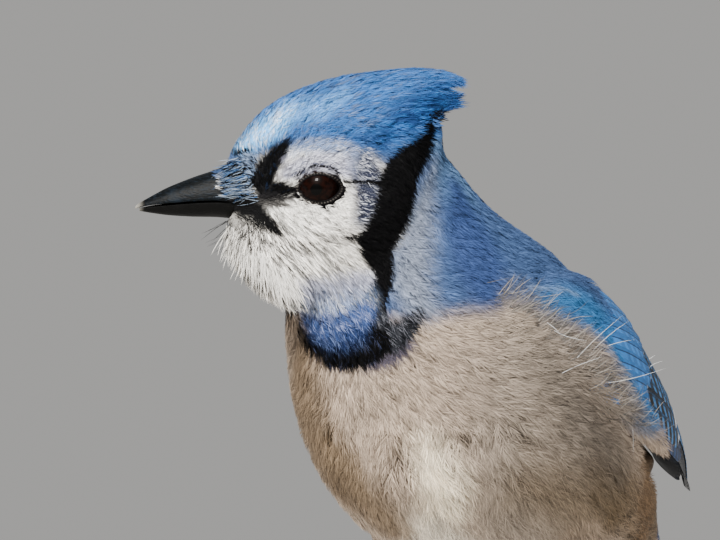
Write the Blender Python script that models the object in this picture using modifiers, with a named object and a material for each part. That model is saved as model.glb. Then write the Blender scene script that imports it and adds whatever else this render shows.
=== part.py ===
"""Blue jay, a still life-size model of a puffed-up bird that stands on the floor with its head turned to its right.

Run it with blender --background --python part.py, or from Blender's text editor. Units are metres, +Z is up.
The sizes below are in millimetres and every mesh is made through MM, so that the tables stay easy to read.

Three frames are used:
  body frame   fwd is the way the breast faces, left is the bird's left, up is up; its origin is on the floor
  head frame   the same three directions turned with the head, with its origin between the eyes
  world        x is left, y is backwards, z is up, shifted so that the origin is under the middle of the bird
"""

import math
from collections import namedtuple

import bmesh
import bpy
from mathutils import Matrix, Vector

MM = 0.001
GAP = 0.3
CUTTERS = "cutters"

# The turned head
HEAD_AT = (34.0, -12.4, 127.4)
HEAD_TURN_DEG = 65.0

# The eyes, from the point between them
EYE_RADIUS = 4.9
EYE_FWD = 6.5
EYE_OUT = 9.3
EYE_UP = 0.2
SOCKET_RADIUS = EYE_RADIUS + GAP

# The smooth body made from the overlapping lofts
BODY_VOXEL = 1.1
BODY_ROUNDS = 12
BODY_TRIANGLES = 2400
CUTTER_SIZE = 600

# The legs and feet
FOOT_FWD = 0.0
FOOT_SIDE = 17.0
ANKLE = (-14.5, 17.5, 34.0)
SHANK_RADII = (1.9, 1.75, 1.35, 1.35, 2.0, 1.6)
FOOT_HEIGHT = 4.6
FOOT_VOXEL = 0.25
FOOT_TRIANGLES = 540
TOE_HEIGHT = 1.15
TOE_SPLAY_DEG = 8.0

# The thin cuts between head, crest, neck and trunk: a point on each and the way it faces
NECK_CUT_AT = (11.5, 0.0, -24.0)
NECK_CUT_TILT = 1.0
CREST_CUT_AT = (-6.0, 0.0, 25.0)
CREST_CUT_WAY = (-0.79, 0.0, 0.61)
TRUNK_CUT_AT = (45.0, 0.0, 97.0)
TRUNK_CUT_TILT = 0.333

RING_POINTS = 32

Section = namedtuple("Section", "at across upward half_width above below power")
Station = namedtuple("Station", "fwd left up pitch half_width above below")
HeadStation = namedtuple("HeadStation", "fwd up half_width above below")
WingStation = namedtuple("WingStation", "fwd left up lean half_height half_thickness")
Toe = namedtuple("Toe", "name turn length radius claw")

# Trunk and neck, from rump to nape: the middle line's place and pitch in degrees, then the half width and the
# reach to the back and to the belly
TRUNK = (
    Station(-94, 0, 45.6, 20, 3.5, 1.6, 1.6),
    Station(-86, 0, 48.3, 20, 7.6, 3.4, 4.2),
    Station(-74, 0, 52.0, 22, 12.0, 6.6, 9.0),
    Station(-61, 0, 56.2, 26, 17.4, 11.5, 15.5),
    Station(-45, 0, 61.8, 29, 24.4, 18.0, 23.0),
    Station(-26, 0, 69.5, 32, 30.8, 25.0, 30.5),
    Station(-6, 0, 79.5, 36, 34.0, 29.8, 37.0),
    Station(10, 0, 90.0, 43, 33.7, 30.4, 36.6),
    Station(19, -1, 101.0, 54, 31.2, 28.7, 29.0),
    Station(23, -3, 111.5, 66, 27.0, 22.4, 23.0),
    Station(25, -6, 121.0, 76, 21.0, 17.5, 17.5),
    Station(27, -8, 131.0, 84, 16.2, 13.4, 13.5),
    Station(28, -9, 139.0, 88, 11.0, 9.0, 9.5),
)
TRUNK_POWER = 2.15

# Head, from the forehead back: the height of its widest level, half width, and reach up and down from there
HEAD = (
    HeadStation(26.5, -1.5, 3.4, 7.6, 4.8),
    HeadStation(24.0, -2.0, 5.8, 13.0, 8.0),
    HeadStation(20.0, -3.0, 8.2, 19.2, 12.5),
    HeadStation(15.0, -4.0, 10.4, 23.9, 15.5),
    HeadStation(9.0, -5.0, 12.2, 27.6, 17.5),
    HeadStation(2.0, -6.0, 14.0, 30.6, 18.0),
    HeadStation(-5.0, -6.0, 14.9, 31.6, 17.0),
    HeadStation(-11.0, -4.0, 14.2, 29.2, 15.0),
    HeadStation(-16.0, 0.0, 11.8, 22.5, 12.0),
    HeadStation(-19.5, 4.0, 7.0, 13.0, 7.0),
)
HEAD_POWER = 1.9

# Puffed throat feathers, in level sections from under the bill downwards
BEARD = (
    HeadStation(19.0, -2.0, 4.5, 8.0, 8.0),
    HeadStation(17.5, -7.0, 7.4, 9.6, 12.0),
    HeadStation(16.0, -12.0, 9.8, 9.4, 16.0),
    HeadStation(14.5, -17.0, 11.0, 8.0, 18.0),
    HeadStation(13.2, -21.0, 10.6, 5.6, 18.0),
    HeadStation(12.0, -24.0, 7.0, 2.6, 12.0),
)
BEARD_POWER = 2.0

# Crest, from inside the crown back to its tips
CREST = (
    HeadStation(-2.0, 13.0, 11.0, 11.5, 11.0),
    HeadStation(-8.0, 16.0, 9.5, 9.8, 10.0),
    HeadStation(-14.0, 18.3, 7.6, 7.9, 7.4),
    HeadStation(-19.0, 19.8, 5.6, 6.2, 5.0),
    HeadStation(-23.0, 20.6, 3.7, 4.6, 3.2),
    HeadStation(-25.2, 20.8, 2.2, 3.0, 2.0),
)
CREST_POWER = 1.8

# The two halves of the bill: the gape line's height, half width, and reach away from that line
UPPER_BILL = (
    HeadStation(19.0, -3.0, 4.6, 8.6, 0.02),
    HeadStation(24.0, -2.6, 4.6, 8.4, 0.02),
    HeadStation(29.0, -2.4, 3.9, 6.4, 0.02),
    HeadStation(34.0, -2.6, 3.2, 4.9, 0.02),
    HeadStation(39.0, -3.0, 2.4, 3.3, 0.02),
    HeadStation(43.0, -3.4, 1.5, 1.7, 0.02),
    HeadStation(45.4, -3.7, 0.8, 0.7, 0.25),
    HeadStation(46.3, -4.0, 0.3, 0.25, 0.2),
)
LOWER_BILL = (
    HeadStation(19.0, -3.5, 4.3, 0.02, 3.4),
    HeadStation(24.0, -3.1, 4.2, 0.02, 3.3),
    HeadStation(29.0, -2.9, 3.5, 0.02, 3.1),
    HeadStation(34.0, -3.1, 2.8, 0.02, 2.8),
    HeadStation(39.0, -3.5, 2.0, 0.02, 2.1),
    HeadStation(42.6, -3.9, 1.2, 0.02, 1.2),
    HeadStation(44.9, -4.3, 0.4, 0.02, 0.4),
)
BILL_POWER = 1.75

# Folded left wing from its bend to the tip of the long feathers, and how far its upper edge leans in
LEFT_WING = (
    WingStation(31.0, 17.0, 96.5, 8, 3.0, 2.0),
    WingStation(26.0, 22.2, 97.5, 10, 8.0, 4.4),
    WingStation(16.0, 27.6, 97.5, 14, 12.6, 5.6),
    WingStation(2.0, 30.6, 94.5, 20, 15.6, 6.0),
    WingStation(-15.0, 30.4, 87.8, 27, 17.0, 5.6),
    WingStation(-32.0, 27.2, 80.6, 34, 16.0, 4.8),
    WingStation(-48.0, 22.4, 74.6, 40, 12.6, 3.5),
    WingStation(-62.0, 17.8, 70.2, 44, 8.8, 2.4),
    WingStation(-75.0, 13.8, 66.8, 46, 5.8, 1.6),
    WingStation(-86.0, 11.0, 64.2, 46, 3.8, 1.1),
    WingStation(-91.0, 10.0, 63.0, 46, 2.0, 0.7),
)
WING_POWER = 2.0
WING_ROOM = 0.5
# Where the half under the wing coverts ends and the long flight feathers go on alone
WING_PART_FWD = -40.0

# Tail, from its root under the rump to its rounded tip
TAIL = (
    Station(-62, 0, 54.0, 21, 8.0, 2.2, 2.2),
    Station(-80, 0, 47.5, 21, 10.5, 2.2, 2.0),
    Station(-105, 0, 37.8, 21, 12.8, 1.9, 1.5),
    Station(-135, 0, 26.2, 21, 15.2, 1.6, 1.2),
    Station(-162, 0, 15.8, 21, 16.8, 1.4, 1.0),
    Station(-176, 0, 10.4, 21, 15.6, 1.2, 0.8),
    Station(-183, 0, 7.7, 21, 11.0, 1.0, 0.7),
    Station(-186, 0, 6.6, 21, 5.0, 0.7, 0.5),
)
TAIL_POWER = 2.4

# Left thigh, the feathered part of the leg: from inside the belly down to the ankle
THIGH = (
    Station(3.0, 14.5, 62.0, 52, 6.0, 6.0, 6.0),
    Station(-2.0, 15.0, 54.0, 52, 7.8, 8.2, 8.2),
    Station(-7.0, 16.0, 46.0, 52, 7.6, 7.8, 7.8),
    Station(-10.5, 16.8, 40.6, 52, 5.4, 5.5, 5.5),
    Station(-12.8, 17.3, 37.0, 52, 3.4, 3.5, 3.5),
    Station(-13.9, 17.5, 35.2, 52, 2.4, 2.4, 2.4),
)
THIGH_POWER = 2.0

TOES = (
    Toe("inner", -24.0, 15.5, 1.45, 7.0),
    Toe("middle", 0.0, 21.0, 1.55, 7.5),
    Toe("outer", 24.0, 16.5, 1.4, 6.5),
    Toe("hind", 180.0, 13.0, 1.6, 9.0),
)

Finish = namedtuple("Finish", "red green blue roughness")
BLUE_PLUMAGE = Finish(0.12, 0.26, 0.52, 0.75)
BACK_PLUMAGE = Finish(0.16, 0.24, 0.40, 0.8)
PALE_PLUMAGE = Finish(0.42, 0.38, 0.34, 0.85)
WING_PLUMAGE = Finish(0.08, 0.25, 0.55, 0.6)
HORN_BLACK = Finish(0.02, 0.022, 0.028, 0.35)
IRIS_BROWN = Finish(0.03, 0.012, 0.008, 0.08)


def body_to_world(fwd, left, up):
    """World place, in metres, of a body-frame point in millimetres."""
    return Vector((left, -fwd, up)) * MM


def head_to_body(fwd, left, up):
    """Body-frame place of a head-frame point: the head is turned to the bird's right."""
    turn = math.radians(HEAD_TURN_DEG)
    return (
        HEAD_AT[0] + fwd * math.cos(turn) + left * math.sin(turn),
        HEAD_AT[1] - fwd * math.sin(turn) + left * math.cos(turn),
        HEAD_AT[2] + up,
    )


def head_to_world(fwd, left, up):
    """World place of a head-frame point."""
    return body_to_world(*head_to_body(fwd, left, up))


def head_direction(fwd, left, up):
    """World direction of a head-frame direction."""
    return (head_to_world(fwd, left, up) - head_to_world(0, 0, 0)).normalized()


def curve_through(values, position):
    """Value of a smooth curve through equally spaced numbers, at a position counted in spans."""
    last = len(values) - 1
    start = min(int(position), last - 1)
    t = position - start
    before = values[max(start - 1, 0)]
    a, b = values[start], values[start + 1]
    after = values[min(start + 2, last)]
    return 0.5 * (
        2 * a
        + (b - before) * t
        + (2 * before - 5 * a + 4 * b - after) * t**2
        + (3 * a - before - 3 * b + after) * t**3
    )


def refined(stations, per_span):
    """Stations of the same kind, closer together along a smooth curve through the given ones."""
    kind = type(stations[0])
    columns = list(zip(*stations))
    steps = (len(stations) - 1) * per_span
    return [
        kind(*(curve_through(column, step / per_span) for column in columns))
        for step in range(steps + 1)
    ]


def ring_of(section, count):
    """Points of one egg-shaped section in world space."""
    points = []
    for i in range(count):
        angle = 2 * math.pi * i / count
        c, s = math.cos(angle), math.sin(angle)
        side = math.copysign(abs(c) ** (2 / section.power), c) * section.half_width
        reach = section.above if s > 0 else section.below
        rise = math.copysign(abs(s) ** (2 / section.power), s) * reach
        points.append(section.at + section.across * side * MM + section.upward * rise * MM)
    return points


def collection_of(name):
    """The collection of that name, made on first use."""
    found = bpy.data.collections.get(name)
    if found is None:
        found = bpy.data.collections.new(name)
        bpy.context.scene.collection.children.link(found)
    return found


def mesh_object(name, bm, parts):
    """New object holding a bmesh, in the collection of the parts or of the cutters."""
    bmesh.ops.recalc_face_normals(bm, faces=bm.faces)
    mesh = bpy.data.meshes.new(name)
    bm.to_mesh(mesh)
    bm.free()
    obj = bpy.data.objects.new(name, mesh)
    parts.objects.link(obj)
    return obj


def loft(name, sections, parts, count=RING_POINTS):
    """Closed mesh through a row of unlike sections, with a cap on each end."""
    bm = bmesh.new()
    rings = [[bm.verts.new(p) for p in ring_of(s, count)] for s in sections]
    for near, far in zip(rings, rings[1:]):
        for i in range(count):
            j = (i + 1) % count
            bm.faces.new((near[i], near[j], far[j], far[i]))
    for ring in (rings[0], rings[-1]):
        middle = bm.verts.new(sum((v.co for v in ring), Vector()) / count)
        for i in range(count):
            bm.faces.new((ring[i], ring[(i + 1) % count], middle))
    return mesh_object(name, bm, parts)


def body_sections(stations, power, per_span=2):
    """Sections of a loft in the body frame, each square to its own pitch."""
    sections = []
    for s in refined(stations, per_span):
        pitch = math.radians(s.pitch)
        upward = Vector((0, math.sin(pitch), math.cos(pitch)))
        at = body_to_world(s.fwd, s.left, s.up)
        sections.append(Section(at, Vector((1, 0, 0)), upward, s.half_width, s.above, s.below, power))
    return sections


def head_sections(stations, power, per_span=2):
    """Upright sections of a loft in the head frame, one behind another."""
    across, upward = head_direction(0, 1, 0), Vector((0, 0, 1))
    return [
        Section(head_to_world(s.fwd, 0, s.up), across, upward, s.half_width, s.above, s.below, power)
        for s in refined(stations, per_span)
    ]


def level_sections(stations, power, per_span=2):
    """Level sections of a loft in the head frame, one under another."""
    across, onward = head_direction(0, 1, 0), head_direction(1, 0, 0)
    return [
        Section(head_to_world(s.fwd, 0, s.up), across, onward, s.half_width, s.above, s.below, power)
        for s in refined(stations, per_span)
    ]


def wing_sections(stations, per_span=2):
    """Sections of the folded left wing: tall and thin, with the upper edge leaning in over the back."""
    fine = refined(stations, per_span)
    sections = []
    for i, s in enumerate(fine):
        before, after = fine[max(i - 1, 0)], fine[min(i + 1, len(fine) - 1)]
        along = body_to_world(*after[:3]) - body_to_world(*before[:3])
        lean = math.radians(s.lean)
        upward = Vector((-math.sin(lean), 0, math.cos(lean)))
        upward = (upward - along * upward.dot(along) / along.length_squared).normalized()
        outward = upward.cross(along).normalized()
        at = body_to_world(s.fwd, s.left, s.up)
        sections.append(
            Section(at, outward, upward, s.half_thickness, s.half_height, s.half_height, WING_POWER)
        )
    return sections


def evaluated_mesh(obj):
    """Copy of the object's mesh with its modifiers applied."""
    graph = bpy.context.evaluated_depsgraph_get()
    graph.update()
    return bpy.data.meshes.new_from_object(obj.evaluated_get(graph))


def apply_modifiers(obj):
    """Bakes the object's modifiers into its mesh."""
    mesh = evaluated_mesh(obj)
    obj.modifiers.clear()
    obj.data = mesh
    return obj


def remove(*objects):
    """Takes helper objects out of the file."""
    for obj in objects:
        bpy.data.objects.remove(obj)


def boolean(obj, cutter, operation):
    """Joins the cutter to the object, cuts it off, or keeps what both share."""
    modifier = obj.modifiers.new("join", "BOOLEAN")
    modifier.operation = operation
    modifier.object = cutter
    modifier.solver = "EXACT"
    return apply_modifiers(obj)


def copy_of(obj, name, parts):
    """Separate copy of an object with a mesh of its own."""
    twin = bpy.data.objects.new(name, obj.data.copy())
    parts.objects.link(twin)
    return twin


def grown(obj, margin):
    """Copy of an object that reaches further out by a margin in millimetres, for cutting room round it."""
    twin = copy_of(obj, obj.name + "_room", collection_of(CUTTERS))
    push = twin.modifiers.new("push", "DISPLACE")
    push.strength = margin * MM
    push.mid_level = 0.0
    return apply_modifiers(twin)


def mirrored(obj, name, parts):
    """The right-hand twin of a left-hand piece."""
    twin = copy_of(obj, name, parts)
    twin.data.transform(Matrix.Scale(-1, 4, Vector((1, 0, 0))))
    twin.data.flip_normals()
    return twin


def keep_side(obj, place, normal, margin=GAP / 2):
    """Cuts the object with a plane and keeps the side that the normal points to, less a thin margin."""
    normal = Vector(normal).normalized()
    bm = bmesh.new()
    bmesh.ops.create_cube(bm, size=CUTTER_SIZE * MM)
    turn = Vector((0, 0, 1)).rotation_difference(normal).to_matrix().to_4x4()
    middle = Vector(place) + normal * (margin - CUTTER_SIZE / 2) * MM
    bmesh.ops.transform(bm, matrix=Matrix.Translation(middle) @ turn, verts=bm.verts)
    block = mesh_object(obj.name + "_block", bm, collection_of(CUTTERS))
    boolean(obj, block, "DIFFERENCE")
    remove(block)
    return obj


def tube(name, points, radii, parts, resolution=3):
    """Closed tube through points in world space, with a radius in millimetres at each."""
    curve = bpy.data.curves.new(name, "CURVE")
    curve.dimensions = "3D"
    curve.bevel_depth = MM
    curve.bevel_resolution = resolution
    curve.use_fill_caps = True
    spline = curve.splines.new("POLY")
    spline.points.add(len(points) - 1)
    for item, place, radius in zip(spline.points, points, radii):
        item.co = (*place, 1)
        item.radius = radius
    guide = bpy.data.objects.new(name, curve)
    parts.objects.link(guide)
    mesh = evaluated_mesh(guide)
    matrix = guide.matrix_world.copy()
    remove(guide)
    obj = bpy.data.objects.new(name, mesh)
    parts.objects.link(obj)
    obj.matrix_world = matrix
    bm = bmesh.new()
    bm.from_mesh(mesh)
    bmesh.ops.remove_doubles(bm, verts=bm.verts, dist=0.00001)
    bmesh.ops.recalc_face_normals(bm, faces=bm.faces)
    bm.to_mesh(mesh)
    bm.free()
    return obj


def painted(obj, finish):
    """Gives the object its own material."""
    material = bpy.data.materials.new(obj.name)
    material.use_nodes = True
    shader = material.node_tree.nodes["Principled BSDF"]
    shader.inputs["Base Color"].default_value = (finish.red, finish.green, finish.blue, 1)
    shader.inputs["Roughness"].default_value = finish.roughness
    shader.inputs["Metallic"].default_value = 0.0
    obj.data.materials.clear()
    obj.data.materials.append(material)
    obj.data.shade_smooth()
    return obj


def largest_lump(obj):
    """Drops loose slivers that a cut has left, and keeps the largest connected lump."""
    bm = bmesh.new()
    bm.from_mesh(obj.data)
    waiting = set(bm.verts)
    lumps = []
    while waiting:
        queue = [waiting.pop()]
        lump = set(queue)
        while queue:
            for edge in queue.pop().link_edges:
                for vert in edge.verts:
                    if vert in waiting:
                        waiting.remove(vert)
                        lump.add(vert)
                        queue.append(vert)
        lumps.append(lump)
    lumps.sort(key=len)
    for lump in lumps[:-1]:
        bmesh.ops.delete(bm, geom=list(lump), context="VERTS")
    bm.to_mesh(obj.data)
    bm.free()
    return obj


def melted(name, lumps, voxel, rounds, triangles, parts):
    """One closed skin over overlapping lumps, relaxed a few rounds and thinned to about a number of triangles."""
    bm = bmesh.new()
    for lump in lumps:
        bm.from_mesh(lump.data)
    skin = mesh_object(name, bm, parts)
    remesh = skin.modifiers.new("voxels", "REMESH")
    remesh.mode = "VOXEL"
    remesh.voxel_size = voxel * MM
    relax = skin.modifiers.new("relax", "SMOOTH")
    relax.factor = 0.5
    relax.iterations = rounds
    apply_modifiers(skin)
    thin = skin.modifiers.new("thin", "DECIMATE")
    thin.ratio = triangles / sum(len(face.vertices) - 2 for face in skin.data.polygons)
    return apply_modifiers(skin)


def smooth_body(parts):
    """One smooth skin of plumage over trunk, neck, head, throat and crest."""
    lumps = [
        loft("trunk_lump", body_sections(TRUNK, TRUNK_POWER), parts),
        loft("head_lump", head_sections(HEAD, HEAD_POWER), parts),
        loft("beard_lump", level_sections(BEARD, BEARD_POWER), parts),
        loft("crest_lump", head_sections(CREST, CREST_POWER), parts),
    ]
    body = melted("body", lumps, BODY_VOXEL, BODY_ROUNDS, BODY_TRIANGLES, parts)
    remove(*lumps)
    return body


def ball(name, radius, place, axis, parts):
    """Sphere of a radius in millimetres at a world place, with its poles on an axis."""
    bm = bmesh.new()
    bmesh.ops.create_uvsphere(bm, u_segments=16, v_segments=9, radius=radius * MM)
    turn = Vector((0, 0, 1)).rotation_difference(axis).to_matrix().to_4x4()
    bmesh.ops.transform(bm, matrix=Matrix.Translation(place) @ turn, verts=bm.verts)
    return mesh_object(name, bm, parts)


def make_eyes(body, parts):
    """Two eyeballs in sockets cut a little larger than they are."""
    eyes = []
    for name, side in (("eye_left", 1), ("eye_right", -1)):
        place = head_to_world(EYE_FWD, side * EYE_OUT, EYE_UP)
        axis = head_direction(0, side, 0)
        eyes.append(painted(ball(name, EYE_RADIUS, place, axis, parts), IRIS_BROWN))
        socket = ball(name + "_socket", SOCKET_RADIUS, place, axis, collection_of(CUTTERS))
        boolean(body, socket, "DIFFERENCE")
        remove(socket)
    return eyes


def make_bill(body, parts):
    """Upper and lower half of the closed bill, bedded in the face."""
    halves = []
    for name, stations in (("bill_upper", UPPER_BILL), ("bill_lower", LOWER_BILL)):
        half = loft(name, head_sections(stations, BILL_POWER, 1), parts, 16)
        halves.append(painted(half, HORN_BLACK))
        room = grown(half, GAP)
        boolean(body, room, "DIFFERENCE")
        remove(room)
    return halves


def make_wings(body, parts):
    """Folded wings laid into the plumage, each parted into its covert half and its long flight feathers."""
    pieces = []
    wing = loft("wing_left", wing_sections(LEFT_WING), parts, 16)
    for side, whole in (("left", wing), ("right", mirrored(wing, "wing_right", parts))):
        room = grown(whole, WING_ROOM)
        boolean(body, room, "DIFFERENCE")
        remove(room)
        flight = copy_of(whole, "flight_feathers_" + side, parts)
        parting = body_to_world(WING_PART_FWD, 0, 0)
        pieces.append(painted(keep_side(whole, parting, (0, -1, 0)), WING_PLUMAGE))
        pieces.append(painted(keep_side(flight, parting, (0, 1, 0)), WING_PLUMAGE))
    return pieces


def make_tail(body, parts):
    """Closed tail, one flat tapering fan with its root in the rump."""
    tail = loft("tail", body_sections(TAIL, TAIL_POWER, 1), parts, 20)
    room = grown(tail, GAP)
    boolean(body, room, "DIFFERENCE")
    remove(room)
    return painted(tail, WING_PLUMAGE)


def shank_points():
    """The middle line of the left shank, from the foot's root to just above the ankle."""
    root = body_to_world(FOOT_FWD, FOOT_SIDE, TOE_HEIGHT)
    ankle = body_to_world(*ANKLE)
    knee_way = body_to_world(ANKLE[0] + 3.4, ANKLE[1], ANKLE[2] + 4.4)
    return [root, root.lerp(ankle, 0.1), root.lerp(ankle, 0.3), root.lerp(ankle, 0.8), ankle, knee_way]


def toe_points(toe):
    """Middle line and radii of one toe and its claw, from the foot's root outwards along the floor."""
    turn = math.radians(TOE_SPLAY_DEG + toe.turn)
    onward = Vector((math.sin(turn), -math.cos(turn), 0))
    root = body_to_world(FOOT_FWD, FOOT_SIDE, 0)
    line = [
        (-0.9 * toe.radius, TOE_HEIGHT, toe.radius * 0.9),
        (toe.length * 0.33, TOE_HEIGHT, toe.radius * 0.92),
        (toe.length * 0.40, TOE_HEIGHT, toe.radius * 1.02),
        (toe.length * 0.66, TOE_HEIGHT, toe.radius * 0.86),
        (toe.length * 0.72, TOE_HEIGHT, toe.radius * 0.96),
        (toe.length, TOE_HEIGHT, toe.radius * 0.86),
        (toe.length + toe.claw * 0.22, TOE_HEIGHT + 0.9, toe.radius * 0.66),
        (toe.length + toe.claw * 0.55, TOE_HEIGHT + 1.1, toe.radius * 0.5),
        (toe.length + toe.claw * 0.85, TOE_HEIGHT + 0.25, toe.radius * 0.3),
        (toe.length + toe.claw, TOE_HEIGHT - 0.8, toe.radius * 0.14),
    ]
    points = [root + onward * along * MM + Vector((0, 0, height * MM)) for along, height, _ in line]
    return points, [radius for _, _, radius in line]


def make_legs(body, parts):
    """Feathered thighs, bare shanks, and feet whose four toes rest on flats at floor level."""
    pieces = []
    thigh = loft("thigh_left", body_sections(THIGH, THIGH_POWER, 1), parts, 16)
    points = shank_points()
    shank = tube("shank_left", points, SHANK_RADII, parts)
    toes = [tube(toe.name + "_toe", *toe_points(toe), parts) for toe in TOES]
    foot = melted("foot_left", [shank, *toes], FOOT_VOXEL, 1, FOOT_TRIANGLES, parts)
    remove(*toes)
    up_shank = points[4] - points[0]
    foot_top = points[0] + up_shank.normalized() * FOOT_HEIGHT * MM
    keep_side(foot, foot_top, -up_shank)
    keep_side(foot, (0, 0, 0), (0, 0, 1), 0)
    keep_side(shank, foot_top, up_shank)
    room = grown(shank, GAP)
    boolean(thigh, room, "DIFFERENCE")
    remove(room)
    for obj, finish in ((thigh, PALE_PLUMAGE), (shank, HORN_BLACK), (foot, HORN_BLACK)):
        pieces.append(painted(largest_lump(obj), finish))
        pieces.append(painted(mirrored(obj, obj.name.replace("left", "right"), parts), finish))
    for obj in (thigh, bpy.data.objects["thigh_right"]):
        room = grown(obj, GAP)
        boolean(body, room, "DIFFERENCE")
        remove(room)
    return pieces


def part_body(body, parts):
    """Parts the whole body into trunk, neck, head and crest with thin plane cuts."""
    head_up = head_direction(NECK_CUT_TILT, 0, 1)
    head_at = head_to_world(*NECK_CUT_AT)
    crest_up = head_direction(*CREST_CUT_WAY)
    crest_at = head_to_world(*CREST_CUT_AT)
    neck_up = Vector((0, -TRUNK_CUT_TILT, 1))
    neck_at = body_to_world(*TRUNK_CUT_AT)
    head, neck = copy_of(body, "head", parts), copy_of(body, "neck", parts)
    keep_side(head, head_at, head_up)
    crest = copy_of(head, "crest", parts)
    keep_side(crest, crest_at, crest_up)
    keep_side(head, crest_at, -crest_up)
    keep_side(neck, head_at, -head_up)
    trunk = copy_of(neck, "trunk", parts)
    keep_side(neck, neck_at, neck_up)
    keep_side(trunk, neck_at, -neck_up)
    remove(body)
    pieces = ((crest, BLUE_PLUMAGE), (head, BLUE_PLUMAGE), (neck, BACK_PLUMAGE), (trunk, PALE_PLUMAGE))
    return [painted(largest_lump(obj), finish) for obj, finish in pieces]


def stand_at_origin(pieces):
    """Hangs every piece on one empty that puts the middle of the bird's underside at the world's origin."""
    corners = [obj.matrix_world @ vert.co for obj in pieces for vert in obj.data.vertices]
    low = Vector(map(min, zip(*corners)))
    high = Vector(map(max, zip(*corners)))
    origin = bpy.data.objects.new("blue_jay_origin", None)
    pieces[0].users_collection[0].objects.link(origin)
    origin.location = (-(low.x + high.x) / 2, -(low.y + high.y) / 2, -low.z)
    for obj in pieces:
        obj.parent = origin


def main():
    for obj in list(bpy.data.objects):
        bpy.data.objects.remove(obj)
    parts = collection_of("blue_jay")
    body = smooth_body(parts)
    pieces = [
        *make_eyes(body, parts),
        *make_bill(body, parts),
        *make_wings(body, parts),
        make_tail(body, parts),
        *make_legs(body, parts),
        *part_body(body, parts),
    ]
    stand_at_origin(pieces)


main()
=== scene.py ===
"""Looks of a still, life-size blue jay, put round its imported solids.

Shapes are worked out in millimetres in the bird's own body frame (forwards, left, up) and are written to meshes
in metres. A second frame turns with the head, and marks seen from the camera's side are given in picture units,
4.6 of them to a millimetre, with the eye level and the middle of the view as their zero.
"""

import sys
import logging
import math
from dataclasses import dataclass, field
from enum import Enum
from typing import Callable, Sequence

import bmesh
import bpy
import numpy as np
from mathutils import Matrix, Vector
from mathutils.bvhtree import BVHTree


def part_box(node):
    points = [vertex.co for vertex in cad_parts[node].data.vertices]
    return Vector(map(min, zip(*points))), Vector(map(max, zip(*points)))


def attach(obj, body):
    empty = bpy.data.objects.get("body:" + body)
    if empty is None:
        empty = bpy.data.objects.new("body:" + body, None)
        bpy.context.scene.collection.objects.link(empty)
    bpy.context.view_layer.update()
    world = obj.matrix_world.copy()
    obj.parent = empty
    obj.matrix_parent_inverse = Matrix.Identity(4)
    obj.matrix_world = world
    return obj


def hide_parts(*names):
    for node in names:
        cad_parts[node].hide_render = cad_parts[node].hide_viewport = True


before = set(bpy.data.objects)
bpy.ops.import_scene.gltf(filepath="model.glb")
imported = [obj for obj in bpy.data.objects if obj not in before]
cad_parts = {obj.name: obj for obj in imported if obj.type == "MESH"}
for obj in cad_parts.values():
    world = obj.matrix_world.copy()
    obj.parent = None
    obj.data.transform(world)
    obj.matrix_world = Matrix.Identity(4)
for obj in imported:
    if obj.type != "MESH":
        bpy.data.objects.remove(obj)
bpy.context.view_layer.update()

log = logging.getLogger("blue_jay")
Array = np.ndarray

MM = 0.001
BODY = "root"
BAKE_MAP = "OFBake"
PATCH = 0.003
FLESH = ("head", "crest", "neck", "trunk", "thigh_left", "thigh_right")
WINGS = ("wing_left", "wing_right", "flight_feathers_left", "flight_feathers_right")
HEAD_AT = np.array([34.0, -12.4, 127.4])
HEAD_TURN = math.radians(65.0)
EYE_AT = np.array([6.5, 9.3, 0.2])
EYE_RADIUS = 4.9
VIEW_TURN = math.radians(25.0)
UNITS_PER_MM = 4.6
VIEW_MIDDLE = (360.0, 270.0)
VIEW_HEIGHT = 110.0
VIEW_ASIDE = 23.4
VIEW_FROM = 3500.0
VIEW_WIDTH = 156.5


def unit(vectors: Array) -> Array:
    """The vectors at length one."""
    return vectors / np.maximum(np.linalg.norm(vectors, axis=-1, keepdims=True), 1e-9)


def dot(a: Array, b: Array) -> Array:
    """Dot products of two arrays of vectors, kept as a last column."""
    return (a * b).sum(-1, keepdims=True)


def smoothstep(low: float, high: float, value: Array) -> Array:
    """Smooth rise from 0 at low to 1 at high."""
    t = np.clip((value - low) / (high - low), 0.0, 1.0)
    return t * t * (3.0 - 2.0 * t)


def tone(red: float, green: float, blue: float) -> Array:
    """Linear colour of display values from 0 to 255."""
    shown = np.array([red, green, blue]) / 255.0
    return np.where(shown <= 0.04045, shown / 12.92, ((shown + 0.055) / 1.055) ** 2.4)


def refined(rows: Sequence[Sequence[float]], per_span: int) -> Array:
    """Rows of a table, closer together along a smooth curve through the given ones.

    Args:
        rows: stations of a loft, equally spaced for the curve.
        per_span: how many rows each span becomes.

    Returns:
        The finer table.
    """
    table = np.asarray(rows, float)
    places = np.linspace(0, len(table) - 1, (len(table) - 1) * per_span + 1)
    start = np.minimum(places.astype(int), len(table) - 2)
    t = (places - start)[:, None]
    before, after = table[np.maximum(start - 1, 0)], table[np.minimum(start + 2, len(table) - 1)]
    a, b = table[start], table[start + 1]
    return 0.5 * (
        2 * a + (b - before) * t + (2 * before - 5 * a + 4 * b - after) * t**2 + (3 * a - before - 3 * b + after) * t**3
    )


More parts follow.
